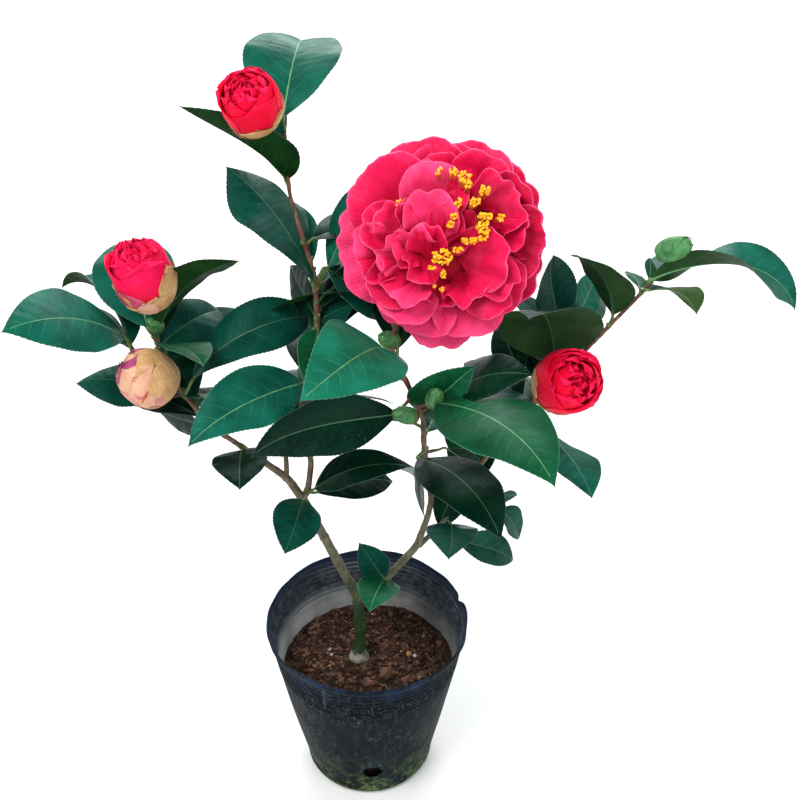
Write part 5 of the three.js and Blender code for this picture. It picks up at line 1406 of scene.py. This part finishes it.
soil = Piece("potting_soil", [SOIL])
verts, faces = [V(0, 0, soil_z(0, 0))], []
RINGS, N = 52, 160
for i in range(1, RINGS + 1):
    r = 60.2 * i / RINGS
    for k in range(N):
        a = 2 * math.pi * (k + 0.5 * (i % 2)) / N
        x, y = r * math.cos(a), r * math.sin(a)
        verts.append(V(x, y, soil_z(x, y)))
for k in range(N):
    faces.append((0, 1 + k, 1 + (k + 1) % N))
for i in range(RINGS - 1):
    for k in range(N):
        a, b = 1 + i * N + k, 1 + i * N + (k + 1) % N
        faces.append((a, a + N, b + N, b))
# the root ball's side and base, seen only through the drain holes
side0 = len(verts)
for z in (60.0, 30.0, 10.0, 3.0):
    r = pot_radius(max(z, 12)) - (3.0 if z > 50 else 6.5) - (6 if z < 5 else 0)
    for k in range(N):
        a = 2 * math.pi * k / N
        verts.append(V(r * math.cos(a), r * math.sin(a), z))
rim0 = 1 + (RINGS - 1) * N
for k in range(N):
    j = (k + 1) % N
    faces.append((rim0 + k, side0 + k, side0 + j, rim0 + j))
for i in range(3):
    for k in range(N):
        j = (k + 1) % N
        a = side0 + i * N
        faces.append((a + k, a + N + k, a + N + j, a + j))
verts.append(V(0, 0, 3))
for k in range(N):
    faces.append((side0 + 3 * N + k, len(verts) - 1, side0 + 3 * N + (k + 1) % N))
soil.add(verts, faces, 0)
soil.make(["soil"], "soil")

crumbs = Piece("soil_crumbs", [CRUMB_A, CRUMB_B, SOIL])
for i in range(2100):
    a, r = 6.283 * rnd(7, i, 1), 58.5 * math.sqrt(rnd(7, i, 2))
    x, y = r * math.cos(a), r * math.sin(a)
    size = 0.6 + 1.3 * rnd(7, i, 3) ** 2.4 + (1.6 * rnd(7, i, 6) if i % 19 == 0 else 0)
    if math.hypot(x + 6.5, y - 2) < 7.5 or r + size > 60:
        continue
    v, f = blob((x, y, soil_z(x, y) + size * 0.35), (size, size * (0.65 + 0.35 * rnd(7, i, 4)), size * 0.7), i * 1.3, 0.7, None, 1)
    crumbs.add(v, f, (0, 0, 1, 2)[i % 4])
crumbs.make([], "soil")
chips = Piece("bark_chips", [CHIP, CRUMB_B])
for i in range(64):
    a, r = 6.283 * rnd(9, i, 1), 57 * math.sqrt(rnd(9, i, 2))
    x, y = r * math.cos(a), r * math.sin(a)
    size = 1.6 + 3.4 * rnd(9, i, 3) ** 1.6
    if math.hypot(x + 6.5, y - 2) < 9 or r + size > 60:
        continue
    h = way(rnd(9, i, 4) * 360, 40 * (rnd(9, i, 5) - 0.5))
    k = unit(np.cross(h, V(0, 0, 1)) + V(0, 0, 0.3 * (rnd(9, i, 6) - 0.5)))
    v, f = blob((x, y, soil_z(x, y) + 1.0), (size, size * 0.36, size * 0.22), i * 2.1, 0.55, (h, k, np.cross(h, k)), 1)
    chips.add(v, f, i % 2)
for x, y, sx, sy, h0 in ((14, -13, 6.5, 4.2, 20), (27, -18, 4.6, 3.0, 70), (2, -22, 4.4, 3.4, -20), (38, -14, 3.6, 2.4, 10), (-18, -20, 3.4, 2.6, 50), (26, 12, 3.6, 2.6, 120)):
    v, f = blob((x, y, soil_z(x, y) + 0.8), (sx, sy, 2.6), x * 1.7, 0.75, (way(h0, 0), way(h0 + 90, 0), V(0, 0, 1)), 2)
    chips.add(v, f, 1)
chips.make([], "soil")
fibres = Piece("root_fibres", [FIBRE, CHIP])
for i in range(90):
    a, r = 6.283 * rnd(4, i, 1), 54 * math.sqrt(rnd(4, i, 2))
    p = V(r * math.cos(a), r * math.sin(a), 0)
    h = rnd(4, i, 3) * 360
    run, length = [], 4 + 9 * rnd(4, i, 4)
    for k in range(9):
        if math.hypot(p[0], p[1]) < 58:
            run.append(V(p[0], p[1], soil_z(p[0], p[1]) + 0.55 + 1.1 * math.sin(k * 0.4) * rnd(4, i, 6)))
        h += 30 * (2 * rnd(4, i, 10 + k) - 1)
        p = p + way(h, 0) * length / 8
    if len(run) > 3:
        v, f = tube(run, np.linspace(0.34, 0.14, len(run)), 5)
        fibres.add(v, f, i % 2)
fibres.make([], "soil")
grit = Piece("perlite_bits", [PERLITE, TAN])
for i, (x, y, s, k) in enumerate(((-27, 9, 1.9, 0), (-26, 5, 1.3, 0), (29, 5, 2.3, 1), (33, 4, 1.6, 0), (36, -16, 1.2, 0), (-36, -10, 0.6, 0), (-12, 32, 0.6, 0), (8, -30, 0.6, 1), (44, 2, 0.6, 0),
                                    (-45, 12, 0.7, 1), (40, 24, 1.0, 0), (-8, -38, 0.6, 0), (24, 8, 1.5, 1), (-30, -28, 0.6, 1), (50, -12, 0.6, 0), (2, 46, 0.7, 0))):
    v, f = blob((x, y, soil_z(x, y) + s * 0.6), (s, s * 0.8, s * 0.7), i * 4.4, 0.6, None, 1)
    grit.add(v, f, k)
grit.make([], "soil")

# ---- floor, lights, world -------------------------------------------------------------
floor_mesh = bpy.data.meshes.new("floor")
floor_mesh.from_pydata([(-30, -30, 0), (30, -30, 0), (30, 30, 0), (-30, 30, 0)], [], [(0, 1, 2, 3)])
floor = bpy.data.objects.new("floor", floor_mesh)
bpy.context.collection.objects.link(floor)
pale = bpy.data.materials.new("floor_pale")
pale.use_nodes = True
pb = next(x for x in pale.node_tree.nodes if x.type == "BSDF_PRINCIPLED")
pb.inputs["Base Color"].default_value = (0.86, 0.86, 0.85, 1)
pb.inputs["Roughness"].default_value = 0.9
pb.inputs["Specular IOR Level"].default_value = 0.1
floor_mesh.materials.append(pale)


def area(name, at, target, size, power, colour=(1, 1, 1)):
    data = bpy.data.lights.new(name, "AREA")
    data.shape = "DISK"
    data.size, data.energy, data.color = size, power, colour
    obj = bpy.data.objects.new(name, data)
    obj.location = at
    obj.rotation_euler = (Vector(target) - Vector(at)).to_track_quat("-Z", "Y").to_euler()
    bpy.context.collection.objects.link(obj)


area("key", (-0.7, -0.75, 1.7), (0, 0, 0.3), 0.9, 20, (1.0, 0.99, 0.97))
area("fill", (1.1, -0.9, 1.0), (0, 0, 0.3), 1.2, 6, (0.94, 0.97, 1.0))
area("back", (0.3, 1.2, 1.5), (0, 0, 0.3), 1.0, 5, (0.92, 0.97, 1.0))
area("backdrop", (0, 3.4, 2.4), (0, 3.0, 0), 3.2, 120, (1.0, 1.0, 1.0))
world = bpy.data.worlds.new("studio")
world.use_nodes = True
bg = next(x for x in world.node_tree.nodes if x.type == "BACKGROUND")
bg.inputs["Color"].default_value = (0.96, 0.98, 1.0, 1)
bg.inputs["Strength"].default_value = 0.86
bpy.context.scene.world = world
bpy.context.scene.view_settings.view_transform = "Standard"
